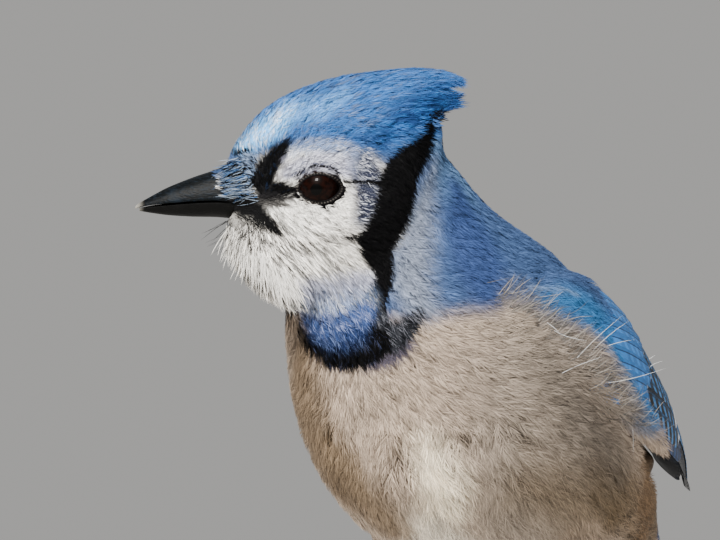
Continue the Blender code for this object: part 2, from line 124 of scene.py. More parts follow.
class Stance:
    """Where the bird stands, and the frames its sizes are given in."""

    onward = np.array([math.cos(HEAD_TURN), -math.sin(HEAD_TURN), 0.0])
    aside = np.array([math.sin(HEAD_TURN), math.cos(HEAD_TURN), 0.0])
    to_camera = np.array([math.cos(VIEW_TURN), math.sin(VIEW_TURN), 0.0])
    view_right = np.array([-math.sin(VIEW_TURN), math.cos(VIEW_TURN), 0.0])
    up = np.array([0.0, 0.0, 1.0])

    def __init__(self) -> None:
        """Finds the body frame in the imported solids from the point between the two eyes."""
        middle = sum((Vector(c) for name in ("eye_left", "eye_right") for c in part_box(name)), Vector()) / 4
        between = self.from_head(np.array([[EYE_AT[0], 0.0, EYE_AT[2]]]))[0]
        self.shift = np.array([middle.x / MM - between[1], middle.y / MM + between[0], 0.0])

    def from_world(self, places: Array) -> Array:
        """Body-frame millimetres of world places in metres."""
        p = places / MM - self.shift
        return np.stack([-p[..., 1], p[..., 0], p[..., 2]], -1)

    def to_world(self, places: Array) -> Array:
        """World metres of body-frame places."""
        p = np.stack([places[..., 1], -places[..., 0], places[..., 2]], -1)
        return (p + self.shift) * MM

    def from_head(self, places: Array) -> Array:
        """Body-frame places of head-frame places."""
        return HEAD_AT + places[..., :1] * self.onward + places[..., 1:2] * self.aside + places[..., 2:] * self.up

    def to_head(self, places: Array) -> Array:
        """Head-frame places of body-frame places."""
        p = places - HEAD_AT
        return np.stack([p @ self.onward, p @ self.aside, p[..., 2]], -1)

    def mirror(self, places: Array) -> Array:
        """Places on the other side of the bird, across a middle plane that turns with the neck."""
        height = places[..., 2]
        turn = np.radians(np.interp(height, (80, 96, 118), (0, 11, 65)))
        fwd = np.interp(height, (80, 96, 118), (0, 10, 34))
        left = np.interp(height, (80, 96, 118), (0, -2, -12.4))
        out = np.stack([np.sin(turn), np.cos(turn), np.zeros_like(turn)], -1)
        middle = np.stack([fwd, left, height], -1)
        return places - 2 * dot(places - middle, out) * out

    def sight(self, across: float, down: float) -> Array:
        """Start of the line of sight through a place in the picture."""
        right = (across - VIEW_MIDDLE[0]) / UNITS_PER_MM - VIEW_ASIDE
        height = VIEW_HEIGHT - (down - VIEW_MIDDLE[1]) / UNITS_PER_MM
        return self.view_right * right + self.up * height + self.to_camera * 400.0


STANCE = Stance()


def only(*objects: bpy.types.Object) -> None:
    """Selects just these objects and makes the first one active."""
    bpy.ops.object.select_all(action="DESELECT")
    for obj in objects:
        obj.select_set(True)
    bpy.context.view_layer.objects.active = objects[0]


def put(mesh: bpy.types.Mesh, name: str) -> bpy.types.Object:
    """New object that holds a mesh, in the scene."""
    obj = bpy.data.objects.new(name, mesh)
    bpy.context.scene.collection.objects.link(obj)
    return obj


def apply(obj: bpy.types.Object, kind: str, **settings: object) -> None:
    """Adds a modifier with its settings and applies it."""
    modifier = obj.modifiers.new(kind.lower(), kind)
    for key, value in settings.items():
        setattr(modifier, key, value)
    only(obj)
    bpy.ops.object.modifier_apply(modifier=modifier.name)


def joined_nodes(name: str, nodes: Sequence[str], grow: float, voxel: float, rounds: int) -> bpy.types.Object:
    """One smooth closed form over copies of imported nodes.

    Args:
        name: name of the new object.
        nodes: the nodes to melt together.
        grow: how far each copy is pushed out first, in millimetres, to close the thin gaps.
        voxel: voxel size in millimetres.
        rounds: rounds of smoothing.

    Returns:
        The new object.
    """
    copies = []
    for node in nodes:
        twin = put(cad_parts[node].data.copy(), f"{name}_{node}")
        only(twin)
        bpy.ops.object.mode_set(mode="EDIT")
        bpy.ops.mesh.select_all(action="SELECT")
        bpy.ops.mesh.remove_doubles(threshold=0.00001)
        bpy.ops.object.mode_set(mode="OBJECT")
        if grow:
            apply(twin, "DISPLACE", strength=grow * MM, mid_level=0.0)
        copies.append(twin)
    only(*copies)
    bpy.ops.object.join()
    whole = bpy.context.view_layer.objects.active
    whole.name = name
    whole.data.name = name
    whole.data.materials.clear()
    apply(whole, "REMESH", mode="VOXEL", voxel_size=voxel * MM)
    if rounds:
        apply(whole, "SMOOTH", factor=0.5, iterations=rounds)
    return whole


def moved(obj: bpy.types.Object, places: Array) -> None:
    """Puts an object's vertices at body-frame places."""
    obj.data.vertices.foreach_set("co", STANCE.to_world(places).astype(np.float32).ravel())
    obj.data.update()


def outward(obj: bpy.types.Object) -> None:
    """Turns all faces of closed shells outwards and shades them smooth."""
    only(obj)
    bpy.ops.object.mode_set(mode="EDIT")
    bpy.ops.mesh.select_all(action="SELECT")
    bpy.ops.mesh.normals_make_consistent(inside=False)
    bpy.ops.object.mode_set(mode="OBJECT")
    bpy.ops.object.shade_smooth()


def settle(obj: bpy.types.Object, slot: str, *nodes: str) -> bpy.types.Object:
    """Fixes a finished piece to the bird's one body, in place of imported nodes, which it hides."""
    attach(obj, BODY)
    if nodes:
        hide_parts(*nodes)
    log.info("%s: %d faces", obj.name, len(obj.data.polygons))
    return obj


def smooth_between(low: Array, high: Array, share: Array) -> Array:
    """Values between two by a share from 0 to 1."""
    return low * (1 - share) + high * share


class Surface:
    """A closed form that feathers follow: finds the nearest place on it and the way it faces there."""

    def __init__(self, obj: bpy.types.Object) -> None:
        """Reads the object's mesh into the body frame.

        Args:
            obj: a mesh object whose place is in its mesh.
        """
        mesh = obj.data
        flat = np.empty(len(mesh.vertices) * 3)
        mesh.vertices.foreach_get("co", flat)
        self.places = STANCE.from_world(flat.reshape(-1, 3))
        faces = [tuple(face.vertices) for face in mesh.polygons]
        self.corners = np.array([(*face, face[-1])[:4] if len(face) < 4 else face[:4] for face in faces])
        self.tree = BVHTree.FromPolygons(self.places.tolist(), faces)
        a, b, c, d = (self.places[self.corners[:, i]] for i in range(4))
        face_outs = np.cross(c - a, d - b) + np.cross(b - a, c - a) * 0.01
        self.areas = 0.5 * np.linalg.norm(face_outs, axis=1)
        outs = np.zeros_like(self.places)
        for i in range(4):
            np.add.at(outs, self.corners[:, i], face_outs)
        self.outs = unit(outs)

    def nearest(self, places: Array) -> tuple[Array, Array, Array]:
        """Nearest places on the form.

        Args:
            places: points in the body frame.

        Returns:
            The places, the smooth outward directions there, and the faces they are on.
        """
        find = self.tree.find_nearest
        found = [find(place) for place in places.tolist()]
        spots = np.array([hit[0] for hit in found])
        faces = np.array([hit[2] for hit in found])
        return spots, self.smooth_outs(spots, faces), faces

    def smooth_outs(self, spots: Array, faces: Array) -> Array:
        """Outward directions blended from a face's corners."""
        corners = self.corners[faces]
        gaps = np.linalg.norm(self.places[corners] - spots[:, None], axis=-1, keepdims=True)
        return unit((self.outs[corners] / (gaps + 0.05) ** 2).sum(1))

    def thickness(self) -> Array:
        """How thick the form is behind each of its points."""
        cast = self.tree.ray_cast
        hits = [cast((p - n * 0.3).tolist(), (-n).tolist()) for p, n in zip(self.places, self.outs)]
        return np.array([hit[3] if hit[0] is not None else 20.0 for hit in hits])

    def distances(self, places: Array) -> Array:
        """Distance of each point to the form."""
        find = self.tree.find_nearest
        return np.array([find(place)[3] for place in places.tolist()])

    def seen(self, marks: Sequence[Sequence[float]]) -> tuple[Array, Array, Array]:
        """Places on the form behind marks in the picture.

        Args:
            marks: rows that start with the two picture coordinates.

        Returns:
            The places, the outward directions there, and which rows have one.
        """
        spots, faces, kept = [], [], []
        for index, row in enumerate(marks):
            start = STANCE.sight(row[0], row[1])
            hit = self.tree.ray_cast(start.tolist(), (-STANCE.to_camera).tolist())
            if hit[0] is None:
                log.info("mark %s,%s is off the bird", row[0], row[1])
                continue
            spots.append(tuple(hit[0]))
            faces.append(hit[2])
            kept.append(index)
        spots, faces = np.array(spots), np.array(faces)
        return spots, self.smooth_outs(spots, faces), np.array(kept)

    def scatter(self, rng: np.random.Generator, spacing: Callable[[Array], Array], most: int) -> Array:
        """Evenly spread random places on the form.

        Args:
            rng: the seeded generator.
            spacing: gives the wanted distance between places, in millimetres.
            most: how many places are tried.

        Returns:
            The places that are kept.
        """
        faces = rng.choice(len(self.areas), most, p=self.areas / self.areas.sum())
        a, b, c, d = (self.places[self.corners[faces, i]] for i in range(4))
        u, v = rng.random((most, 1)), rng.random((most, 1))
        places = (a * (1 - u) + b * u) * (1 - v) + (d * (1 - u) + c * u) * v
        level = np.round(np.log(spacing(places) / 0.5) / math.log(1.15))
        cell = 0.5 * 1.15**level
        keys = np.column_stack([np.floor(places / cell[:, None]), level]).astype(int)
        _, first = np.unique(keys, axis=0, return_index=True)
        return places[np.sort(first)]


class Kind(Enum):
    """How a marking measures its distance."""

    PROFILE = "in the head's profile, through to the other side"
    ROUND = "over the form, on both sides of the bird"


@dataclass(frozen=True)
class Marking:
    """A soft-edged band of one colour: its middle line and half widths, in picture units or millimetres."""

    name: str
    color: tuple[float, float, float]
    soft: float
    rows: tuple[tuple[float, ...], ...]
    kind: Kind = Kind.PROFILE
    amount: float = 1.0
    fleck: tuple[float, float, float] = (255, 255, 255)
    share: float = 0.0


WHITE = (240, 238, 234)
BLACK = (1, 1, 2)
BREAST = (158, 142, 127)
MANTLE = (58, 79, 117)
BACK_LINE = (
    (-125, 26), (-105, 33), (-95, 38.5), (-80, 46.5), (-60, 59), (-42, 71), (-28, 75), (-15, 74.5), (-3.7, 79.6),
    (2.2, 85), (5, 90.4), (10.6, 95.7), (20, 98.7), (27, 102), (32.5, 103.9), (36, 102), (40, 100.4), (46, 99),
)
EYE_MIDDLE = (319.5, 189.5)


def ring(half_wide: float, half_high: float, width: float) -> tuple[tuple[float, ...], ...]:
    """Rows of a closed oval band round the eye, in picture units."""
    turns = np.linspace(0, 2 * np.pi, 25)
    across = EYE_MIDDLE[0] + half_wide * np.cos(turns)
    down = EYE_MIDDLE[1] - half_high * np.sin(turns)
    return tuple(zip(across.tolist(), down.tolist(), [width] * len(turns)))


BODY_MARKINGS = (
    Marking("breast_edge", (104, 88, 70), 12.0, ((302, 362, 6), (308, 420, 10), (328, 468, 9)), Kind.ROUND, 0.9),
    Marking("belly", (206, 197, 182), 9.0, (
        (28, 2, 56, 4), (16, 2, 47, 8), (0, 2, 43, 11), (-25, 0, 41, 13), (-55, 0, 42, 10), (-88, 0, 42, 8),
    ), Kind.ROUND),
    Marking("breast_low", (115, 98, 78), 8.0, ((330, 440, 3), (355, 472, 5), (385, 520, 5)), Kind.ROUND, 0.8),
    Marking("belly_side", (240, 227, 203), 9.0, ((424, 440, 2.5), (436, 468, 4.5), (440, 500, 3.5)), Kind.ROUND),
    Marking("flank_side", (98, 82, 64), 8.0, (
        (6, 31, 70, 4), (-10, 31, 62, 7), (-24, 29, 58, 7), (-38, 25, 55, 7), (-52, 20, 55, 7), (-66, 14, 53, 6),
    ), Kind.ROUND, 0.85),
    Marking("breast_shade", (128, 116, 106), 16.0, ((455, 350, 5), (490, 385, 11), (475, 420, 8)), Kind.ROUND, 0.5),
    Marking("flank_near", (128, 119, 109), 16.0, ((512, 322, 6), (530, 400, 13), (536, 470, 15), (530, 520, 14)),
            Kind.ROUND, 0.6),
    Marking("flank_fringe", (104, 100, 98), 9.0, ((540, 318, 1), (575, 345, 3), (608, 382, 4), (634, 415, 4)),
            Kind.ROUND, 0.7),
    Marking("flank", (87, 82, 77), 18.0, (
        (545, 355, 3), (572, 400, 7), (600, 440, 8), (612, 470, 7),
    ), Kind.ROUND, 0.72),
    # Brown lower flank, darkened further as painted shade on the lower right of the belly.
    Marking("flank_low", (92, 77, 57), 13.0, ((520, 480, 4), (560, 492, 7), (605, 515, 8)), Kind.ROUND, 0.65),
    # Brown flank at the body's right edge, darkened further as painted shade.
    Marking("flank_back", (97, 77, 57), 8.0, ((648, 452, 4), (650, 475, 8), (655, 505, 9), (645, 532, 9)), Kind.ROUND, 0.9),
    Marking("thigh", (136, 120, 104), 4.0, ((-4, 16, 52, 7), (-8, 17, 45, 8), (-13, 17.5, 37, 5)), Kind.ROUND),
    Marking("rump", (50, 104, 172), 12.0, ((-45, 0, 86, 7), (-66, 0, 66, 8), (-86, 0, 56, 7), (-100, 0, 48, 7)), Kind.ROUND),
    Marking("shoulder", (46, 96, 144), 7.0, (
        (545, 298, 2), (575, 302, 4), (600, 322, 5), (625, 360, 5), (645, 395, 6),
    ), Kind.ROUND),
    Marking("shoulder_fringe", (136, 156, 186), 1.4, ((528, 286, 0.4), (552, 287, 0.4), (576, 294, 0.4)),
            Kind.ROUND, 0.4),
    Marking("nape", (104, 142, 180), 6.0, ((438, 142, 4), (444, 162, 6), (456, 186, 6)), Kind.ROUND, 0.33),
    Marking("neck_blue", (45, 63, 104), 6.0, ((456, 190, 3), (466, 225, 5), (478, 262, 6), (484, 290, 4)), Kind.ROUND),
    Marking("neck_pale", (113, 122, 140), 7.0, (
        (436, 165, 0.5), (428, 190, 1.5), (418, 220, 3.2), (412, 250, 4.2), (410, 280, 4.4), (420, 304, 3.4),
    ), Kind.ROUND),
    Marking("cheek_round", WHITE, 3.0, ((345, 205, 5), (350, 235, 6), (345, 262, 6), (335, 285, 4)), Kind.ROUND),
)

HEAD_MARKINGS = (
    Marking("face", (230, 228, 224), 10, ((250, 212, 44), (290, 216, 66), (330, 220, 64), (352, 212, 56))),
    Marking("throat", (216, 213, 208), 8, (
        (238, 228, 22), (262, 250, 30), (284, 276, 30), (318, 272, 36), (345, 262, 34),
    )),
    # Grey throat, with painted shade under the chin.
    Marking("throat_grey", (147, 150, 168), 16, ((312, 292, 13), (340, 292, 17), (366, 282, 12))),
    Marking("crown", (48, 93, 152), 11, (
        (258, 138, 13), (288, 114, 25), (330, 108, 30), (368, 108, 45), (404, 108, 46), (436, 94, 38), (466, 86, 28),
    ), fleck=(78, 98, 136), share=0.16),
    Marking("crown_mid", (87, 142, 202), 17, ((262, 134, 8), (290, 112, 12), (322, 110, 10), (345, 96, 6)),
            amount=0.85, fleck=(134, 164, 200), share=0.12),
    # Pale blue front of the crown, brightened further with white flecks as a painted highlight.
    Marking("crown_front", (116, 192, 250), 24, ((243, 147, 4), (260, 136, 8), (276, 126, 8), (290, 112, 2)),
            fleck=(218, 230, 242), share=0.32),
    Marking("crown_back", (15, 38, 79), 26, (
        (352, 140, 1), (384, 140, 10), (410, 116, 20), (440, 98, 18), (462, 90, 18),
    ), amount=0.92, fleck=(34, 84, 146), share=0.3),
    Marking("brow_top", (128, 148, 184), 14, (
        (284, 158, 4), (302, 150, 6), (322, 147, 7), (346, 152, 8), (368, 162, 7),
    ), amount=0.75, fleck=(196, 200, 214), share=0.3),
    Marking("brow", (178, 180, 196), 8, ((288, 174, 7), (302, 168, 10), (322, 162, 10), (346, 168, 11), (366, 175, 7)),
            fleck=(84, 88, 108), share=0.22),
    Marking("nasal", (104, 122, 150), 5, ((250, 162, 9), (240, 176, 17), (234, 190, 14)), fleck=(6, 6, 8), share=0.5),
    Marking("brow_rear", (112, 124, 156), 3.0, ((352, 152, 1.2), (357, 166, 1.8), (360, 180, 1.4)), Kind.ROUND, 0.75,
            fleck=(60, 68, 92), share=0.2),
    Marking("cheek_edge", (42, 46, 62), 3.6, (
        (366, 158, 1.8), (369, 172, 3.2), (370, 188, 3.6), (369, 204, 3.3), (363, 220, 2.2),
    ), Kind.ROUND, 1.0, fleck=(160, 164, 176), share=0.3),
    Marking("gape_shade", (60, 57, 56), 4, ((258, 203, 3.5), (286, 206, 3)), amount=0.85),
    # Dark gape line, with painted shadow between the cheek's overhang and the chin.
    Marking("gape_skin", (6, 6, 6), 3, (
        (214, 204, 7), (240, 206, 9.5), (257, 211, 8.5), (269, 223, 6), (280, 234, 3.5),
    )),
    Marking("forehead_spots", BLACK, 2, ((236, 153, 2.4), (250, 150.5, 2.0))),
    Marking("lore", BLACK, 6, (
        (289, 141, 3.5), (280, 153, 9), (269, 167, 12), (263, 181, 12), (266, 190, 10.5), (281, 190, 9),
        (297, 191, 4.5),
    ), fleck=(14, 24, 42), share=0.08),
    Marking("lore_grey", (30, 28, 30), 4, ((232, 199, 2), (248, 198, 3.4), (276, 199, 3.8), (294, 199, 2.6)),
            amount=0.9, fleck=(150, 148, 146), share=0.15),
    Marking("lid_area", (112, 112, 124), 4, ((300, 180, 3), (318, 172, 4), (338, 178, 3)), amount=0.8,
            fleck=(50, 50, 56), share=0.3),
    Marking("brow_front", (124, 124, 140), 5, ((285, 160, 3), (289, 169, 3)), amount=0.6, fleck=(60, 60, 72), share=0.2),
    # Painted shade: the socket round the eyeball darkened to near black.
    Marking("eye_hollow", (8, 7, 7), 3, ((311, 189.5, 13), (328, 189.5, 13))),
    Marking("eye_ring", (30, 28, 30), 3.5, ring(20.0, 14.2, 1.5), amount=0.8, fleck=(120, 116, 112), share=0.12),
    # Painted shade in the fold above the eyelid.
    Marking("lid_crease", (18, 17, 20), 1.2, (
        (296, 177, 1.2), (306, 169.5, 1.5), (317, 166.5, 1.6), (330, 168, 1.5), (339, 173, 1.4), (344, 179, 1.2),
    )),
    Marking("eye_line", BLACK, 1.6, ((342, 183, 1.2), (353, 183.0, 1.6), (366, 182.6, 2.0), (381, 184, 3.0))),
    Marking("crest_black", BLACK, 1.4, ((428, 128, 3), (438, 119, 2.0), (449, 118, 1.2))),
    Marking("collar", BLACK, 1.0, (
        (437, 118, 1.0), (432, 128, 1.6), (430, 141, 2.0), (419, 155, 3.2), (406, 168, 4.0), (399, 184, 4.4),
        (397, 200, 4.4), (393, 216, 4.4), (385, 231, 4.2), (377, 246, 4.0), (379, 258, 3.2), (385, 272, 2.2),
        (382, 286, 2.3), (376, 299, 2.8), (371, 314, 3.5),
    ), Kind.ROUND),
    Marking("spike", BLACK, 0.5, ((342, 238, 0.2), (352, 239, 0.8), (362, 240, 1.4), (374, 240, 2.2)), Kind.ROUND),
    Marking("necklace_blue", (26, 32, 62), 2.0, ((312, 360, 0.5), (345, 368, 0.7), (388, 360, 1.6), (410, 344, 1.4)),
            Kind.ROUND, 0.85),
    Marking("necklace", (28, 30, 35), 1.2, (
        (380, 322, 2.4), (380, 332, 3.2), (388, 338, 3.6), (400, 333, 3.0), (413, 322, 2.0), (421, 312, 0.9),
    ), Kind.ROUND, fleck=(84, 86, 94), share=0.24),
    Marking("necklace_front", BLACK, 0.8, (
        (299, 321, 0.5), (301, 333, 1.5), (310, 345, 2.6), (325, 351, 3.5), (345, 353, 4.1), (364, 349, 4.1),
        (376, 343, 3.5),
    ), Kind.ROUND, fleck=(34, 38, 56), share=0.1),
    Marking("necklace_streak", (140, 140, 148), 1.2, ((394, 313, 0.4), (402, 322, 0.4)), Kind.ROUND, 0.4),
    Marking("bib_light", (112, 130, 164), 6.0, (
        (303, 307, 2), (322, 306, 2.6), (346, 305, 2.6), (366, 300, 1.8),
    ), Kind.ROUND, 0.8, fleck=(190, 196, 210), share=0.25),
    Marking("bib", (54, 74, 120), 2.5, (
        (305, 321, 1.2), (318, 327, 2.8), (336, 330, 3.4), (352, 325, 3.3), (365, 313, 2.5),
    ), Kind.ROUND, fleck=(110, 122, 164), share=0.3),
    Marking("bib_low", (20, 32, 64), 4.0, ((312, 336, 1.0), (326, 341, 1.6), (344, 342, 1.8), (360, 334, 1.8)),
            Kind.ROUND, 0.8, fleck=(84, 104, 148), share=0.25),
)


class Markings:
    """The bird's colours as a function of place, the same for skin and coat."""

    def __init__(self, form: Surface) -> None:
        """Lays every marking on the form.

        Args:
            form: the outer form of the plumage.
        """
        self.form = form
        self.bands = [(marking, *self.laid(marking)) for marking in (*BODY_MARKINGS, *HEAD_MARKINGS)]

    def laid(self, marking: Marking) -> tuple[list[Array], list[Array]]:
        """Middle lines and half widths of one marking, in millimetres."""
        rows = np.array(marking.rows)
        if marking.kind is Kind.PROFILE:
            onward = (350.0 - rows[:, 0]) / UNITS_PER_MM
            upward = (190.0 - rows[:, 1]) / UNITS_PER_MM
            return [np.column_stack([onward, np.zeros(len(rows)), upward])], [rows[:, 2] / UNITS_PER_MM]
        if rows.shape[1] == 3:
            line, _, kept = self.form.seen(rows)
            rows = rows[kept]
        else:
            line = rows[:, :3]
        fine = refined(np.column_stack([line, rows[:, -1]]), 3)
        line = self.form.nearest(fine[:, :3])[0]
        other = self.form.nearest(STANCE.mirror(line))[0]
        return [line, other], [fine[:, 3], fine[:, 3]]

    def cover(self, marking: Marking, lines: list[Array], widths: list[Array], body: Array, head: Array) -> Array:
        """How strongly a marking shows at each place, from 0 to 1."""
        profile = marking.kind is Kind.PROFILE
        soft = marking.soft / UNITS_PER_MM if profile else marking.soft
        places = head * np.array([1.0, 0.0, 1.0]) if profile else body
        result = np.zeros(len(places))
        for number, (line, width) in enumerate(zip(lines, widths)):
            reach = width.max() + soft
            near = ((places > line.min(0) - reach) & (places < line.max(0) + reach)).all(1)
            spots = places[near]
            best = np.full(len(spots), 1e6)
            for a, b, wa, wb in zip(line, line[1:], width, width[1:]):
                along = b - a
                t = np.clip((spots - a) @ along / max(along @ along, 1e-9), 0.0, 1.0)
                gap = np.linalg.norm(spots - a - t[:, None] * along, axis=1) - (wa + (wb - wa) * t)
                best = np.minimum(best, gap)
            shown = 1.0 - smoothstep(-0.5 * soft, 0.5 * soft, best)
            if number:
                shown = shown * self.far_side(spots)
            result[near] = np.maximum(result[near], shown)
        if profile:
            side, height = np.abs(head[:, 1]), head[:, 2]
            side = side - 4.5 * smoothstep(-22.0, -14.0, height) * (head[:, 1] < 0)
            result *= (1.0 - smoothstep(16.5, 19.5, side)) * smoothstep(-39.0, -35.0, height)
        return result * marking.amount

    @staticmethod
    def far_side(places: Array) -> Array:
        """How far round the bird each place is from the camera's side, from 0 to 1."""
        levels = (40, 80, 100, 130)
        fwd = np.interp(places[:, 2], levels, (-10, 5, 18, 28))
        left = np.interp(places[:, 2], levels, (0, 0, -1, -8))
        axis = np.stack([fwd, left, places[:, 2]], -1)
        return 1.0 - smoothstep(-3.0, 3.0, (places - axis) @ STANCE.to_camera)

    def colors(self, places: Array, luck: Array | None = None) -> Array:
        """Linear colours at places near the form.

        Args:
            places: where.
            luck: a number from 0 to 1 for each, which picks the flecks; none are picked without it.

        Returns:
            The colours.
        """
        luck = np.ones(len(places)) if luck is None else luck
        head = STANCE.to_head(places)
        line = np.array(BACK_LINE)
        above = places[:, 2] - np.interp(places[:, 0], line[:, 0], line[:, 1])
        weight = smoothstep(-3.0, 3.0, above)[:, None]
        result = tone(*BREAST) * (1 - weight) + tone(*MANTLE) * weight
        for marking, lines, widths in self.bands:
            weight = self.cover(marking, lines, widths, places, head)[:, None]
            color = np.where((luck < marking.share)[:, None], tone(*marking.fleck), tone(*marking.color))
            result = result * (1 - weight) + color * weight
        return result


# Picture place, way downwards from the picture's right in degrees, then length, half width, lift and looseness
SEEN_LIE = (
    (250, 143, -62, 2.8, 0.9, 0.0, 0.2), (268, 122, -48, 3.6, 1.0, 0.0, 0.2), (300, 99, -28, 4.8, 1.1, 0.0, 0.2),
    (340, 86, -16, 6.0, 1.2, 0.0, 0.2), (390, 77, -6, 8.0, 1.2, 0.1, 0.2), (432, 79, 2, 9.0, 1.2, 0.2, 0.2),
    (298, 125, -36, 4.4, 1.1, 0.0, 0.2), (340, 112, -18, 6.0, 1.2, 0.0, 0.2), (385, 105, -8, 8.0, 1.2, 0.1, 0.2),
    (425, 104, -2, 8.5, 1.2, 0.2, 0.2), (345, 140, -8, 4.8, 1.2, 0.0, 0.2), (385, 138, 2, 6.0, 1.2, 0.1, 0.2),
    (418, 128, 6, 6.0, 1.2, 0.2, 0.3), (365, 154, 16, 4.4, 1.2, 0.0, 0.3), (392, 158, 34, 4.6, 1.2, 0.1, 0.3),
    (298, 162, -42, 2.8, 0.9, 0.0, 0.4), (320, 153, -16, 3.2, 1.0, 0.0, 0.4), (346, 162, 10, 3.8, 1.1, 0.0, 0.4),
    (368, 173, 20, 3.8, 1.1, 0.0, 0.4), (272, 162, -66, 2.6, 0.8, 0.0, 0.4), (264, 180, -84, 2.0, 0.7, 0.0, 0.5),
    (284, 193, -20, 1.8, 0.6, 0.0, 0.5), (256, 160, -140, 3.2, 0.7, 0.1, 0.5), (248, 172, 176, 4.2, 0.7, 0.2, 0.5),
    (240, 186, 178, 4.2, 0.7, 0.2, 0.5), (244, 198, 182, 3.4, 0.7, 0.1, 0.5), (290, 206, 42, 2.8, 0.9, 0.0, 0.5),
    (316, 209, 34, 3.2, 1.0, 0.0, 0.5), (340, 200, 28, 3.4, 1.1, 0.0, 0.5), (360, 196, 24, 3.8, 1.1, 0.0, 0.5),
    (332, 221, 14, 4.4, 1.2, 0.1, 0.6), (360, 215, 14, 4.4, 1.2, 0.1, 0.6), (300, 222, 34, 4.8, 1.0, 0.2, 0.8),
    (274, 214, 50, 4.6, 0.9, 0.4, 0.9), (232, 222, 100, 4.6, 0.9, 1.4, 1.0), (243, 238, 84, 6.2, 1.0, 2.0, 1.0), (250, 262, 76, 7.4, 1.1, 2.2, 1.0),
    (256, 230, 68, 5.8, 1.3, 0.5, 0.8), (262, 252, 64, 7.0, 1.1, 1.0, 1.0), (282, 240, 54, 6.8, 1.1, 0.3, 1.0),
    (270, 280, 66, 8.0, 1.2, 2.2, 1.0), (286, 288, 60, 7.4, 1.3, 1.4, 0.9), (300, 246, 42, 6.8, 1.2, 0.2, 0.9), (330, 236, 26, 5.6, 1.4, 0.1, 0.7),
    (320, 266, 46, 7.0, 1.5, 0.2, 0.7), (350, 256, 36, 6.0, 1.4, 0.1, 0.6), (345, 281, 46, 6.6, 1.5, 0.1, 0.6),
    (318, 291, 60, 6.6, 1.5, 0.2, 0.6), (308, 316, 76, 5.8, 1.5, 0.1, 0.5), (330, 320, 66, 5.8, 1.5, 0.1, 0.5),
    (355, 315, 56, 5.8, 1.5, 0.1, 0.5), (330, 342, 66, 5.0, 1.5, 0.1, 0.5), (415, 156, 50, 4.8, 1.3, 0.1, 0.4),
    (400, 186, 50, 4.8, 1.3, 0.1, 0.4), (395, 215, 44, 4.8, 1.3, 0.1, 0.4), (386, 240, 38, 4.8, 1.3, 0.1, 0.4),
    (390, 266, 54, 5.0, 1.3, 0.1, 0.4), (385, 300, 56, 5.4, 1.4, 0.1, 0.5), (376, 330, 50, 5.6, 1.5, 0.1, 0.36),
    (436, 170, 52, 5.6, 1.5, 0.1, 0.4), (425, 196, 36, 6.0, 1.6, 0.1, 0.4), (455, 202, 42, 6.0, 1.7, 0.1, 0.3),
    (420, 230, 26, 6.4, 1.7, 0.1, 0.4), (460, 240, 34, 6.6, 1.8, 0.1, 0.3), (410, 270, 22, 6.8, 1.8, 0.1, 0.5),
    (440, 286, 12, 6.8, 1.9, 0.1, 0.5), (412, 304, 38, 6.8, 1.7, 0.1, 0.6), (490, 240, 38, 6.8, 2.0, 0.1, 0.3),
    (500, 272, 28, 7.0, 2.1, 0.1, 0.4), (540, 262, 30, 7.0, 2.2, 0.0, 0.3), (572, 286, 38, 6.6, 2.2, 0.0, 0.4),
    (306, 380, 88, 8.4, 2.2, 0.3, 0.48), (330, 386, 78, 8.6, 2.3, 0.2, 0.48), (360, 386, 60, 8.8, 2.4, 0.2, 0.48),
    (390, 380, 42, 8.8, 2.4, 0.2, 0.48), (425, 360, 28, 8.2, 2.4, 0.2, 0.48), (460, 340, 15, 8.0, 2.3, 0.2, 0.48),
    (312, 430, 74, 9.6, 2.5, 0.4, 0.54), (350, 440, 60, 10.4, 2.6, 0.2, 0.54), (400, 440, 45, 10.4, 2.6, 0.2, 0.54),
    (450, 400, 20, 9.2, 2.5, 0.2, 0.48), (500, 340, 8, 8.0, 2.3, 0.2, 0.42), (450, 460, 45, 11.0, 2.6, 0.3, 0.54),
    (350, 500, 55, 11.5, 2.7, 0.3, 0.54), (400, 510, 50, 11.5, 2.7, 0.3, 0.54), (460, 510, 50, 11.5, 2.7, 0.3, 0.54),
    (540, 350, 4, 8.2, 2.3, 0.2, 0.42), (522, 318, -2, 7.2, 2.1, 0.1, 0.36), (560, 382, 8, 9.4, 2.2, 0.3, 0.5), (570, 345, 4, 9.6, 1.9, 0.6, 0.55),
    (500, 400, 10, 9.2, 2.5, 0.2, 0.48), (600, 376, 12, 11, 2.0, 0.7, 0.55), (520, 440, 26, 10.5, 2.6, 0.2, 0.54),
    (580, 430, 32, 11.0, 2.6, 0.3, 0.54), (618, 405, 22, 11.5, 2.0, 0.8, 0.55), (640, 442, 52, 10.5, 2.4, 0.4, 0.54),
    (560, 480, 46, 12.0, 2.7, 0.3, 0.54), (610, 480, 60, 12.0, 2.7, 0.4, 0.54), (642, 500, 72, 11.0, 2.6, 0.4, 0.54),
    (520, 510, 50, 12.0, 2.7, 0.3, 0.54), (600, 525, 70, 12.0, 2.7, 0.4, 0.54), (560, 300, 26, 6.0, 2.2, 0.0, 0.4),
    (592, 312, 40, 6.0, 2.2, 0.0, 0.4), (612, 342, 54, 6.0, 2.2, 0.0, 0.4), (632, 372, 60, 6.5, 2.2, 0.1, 0.4),
)

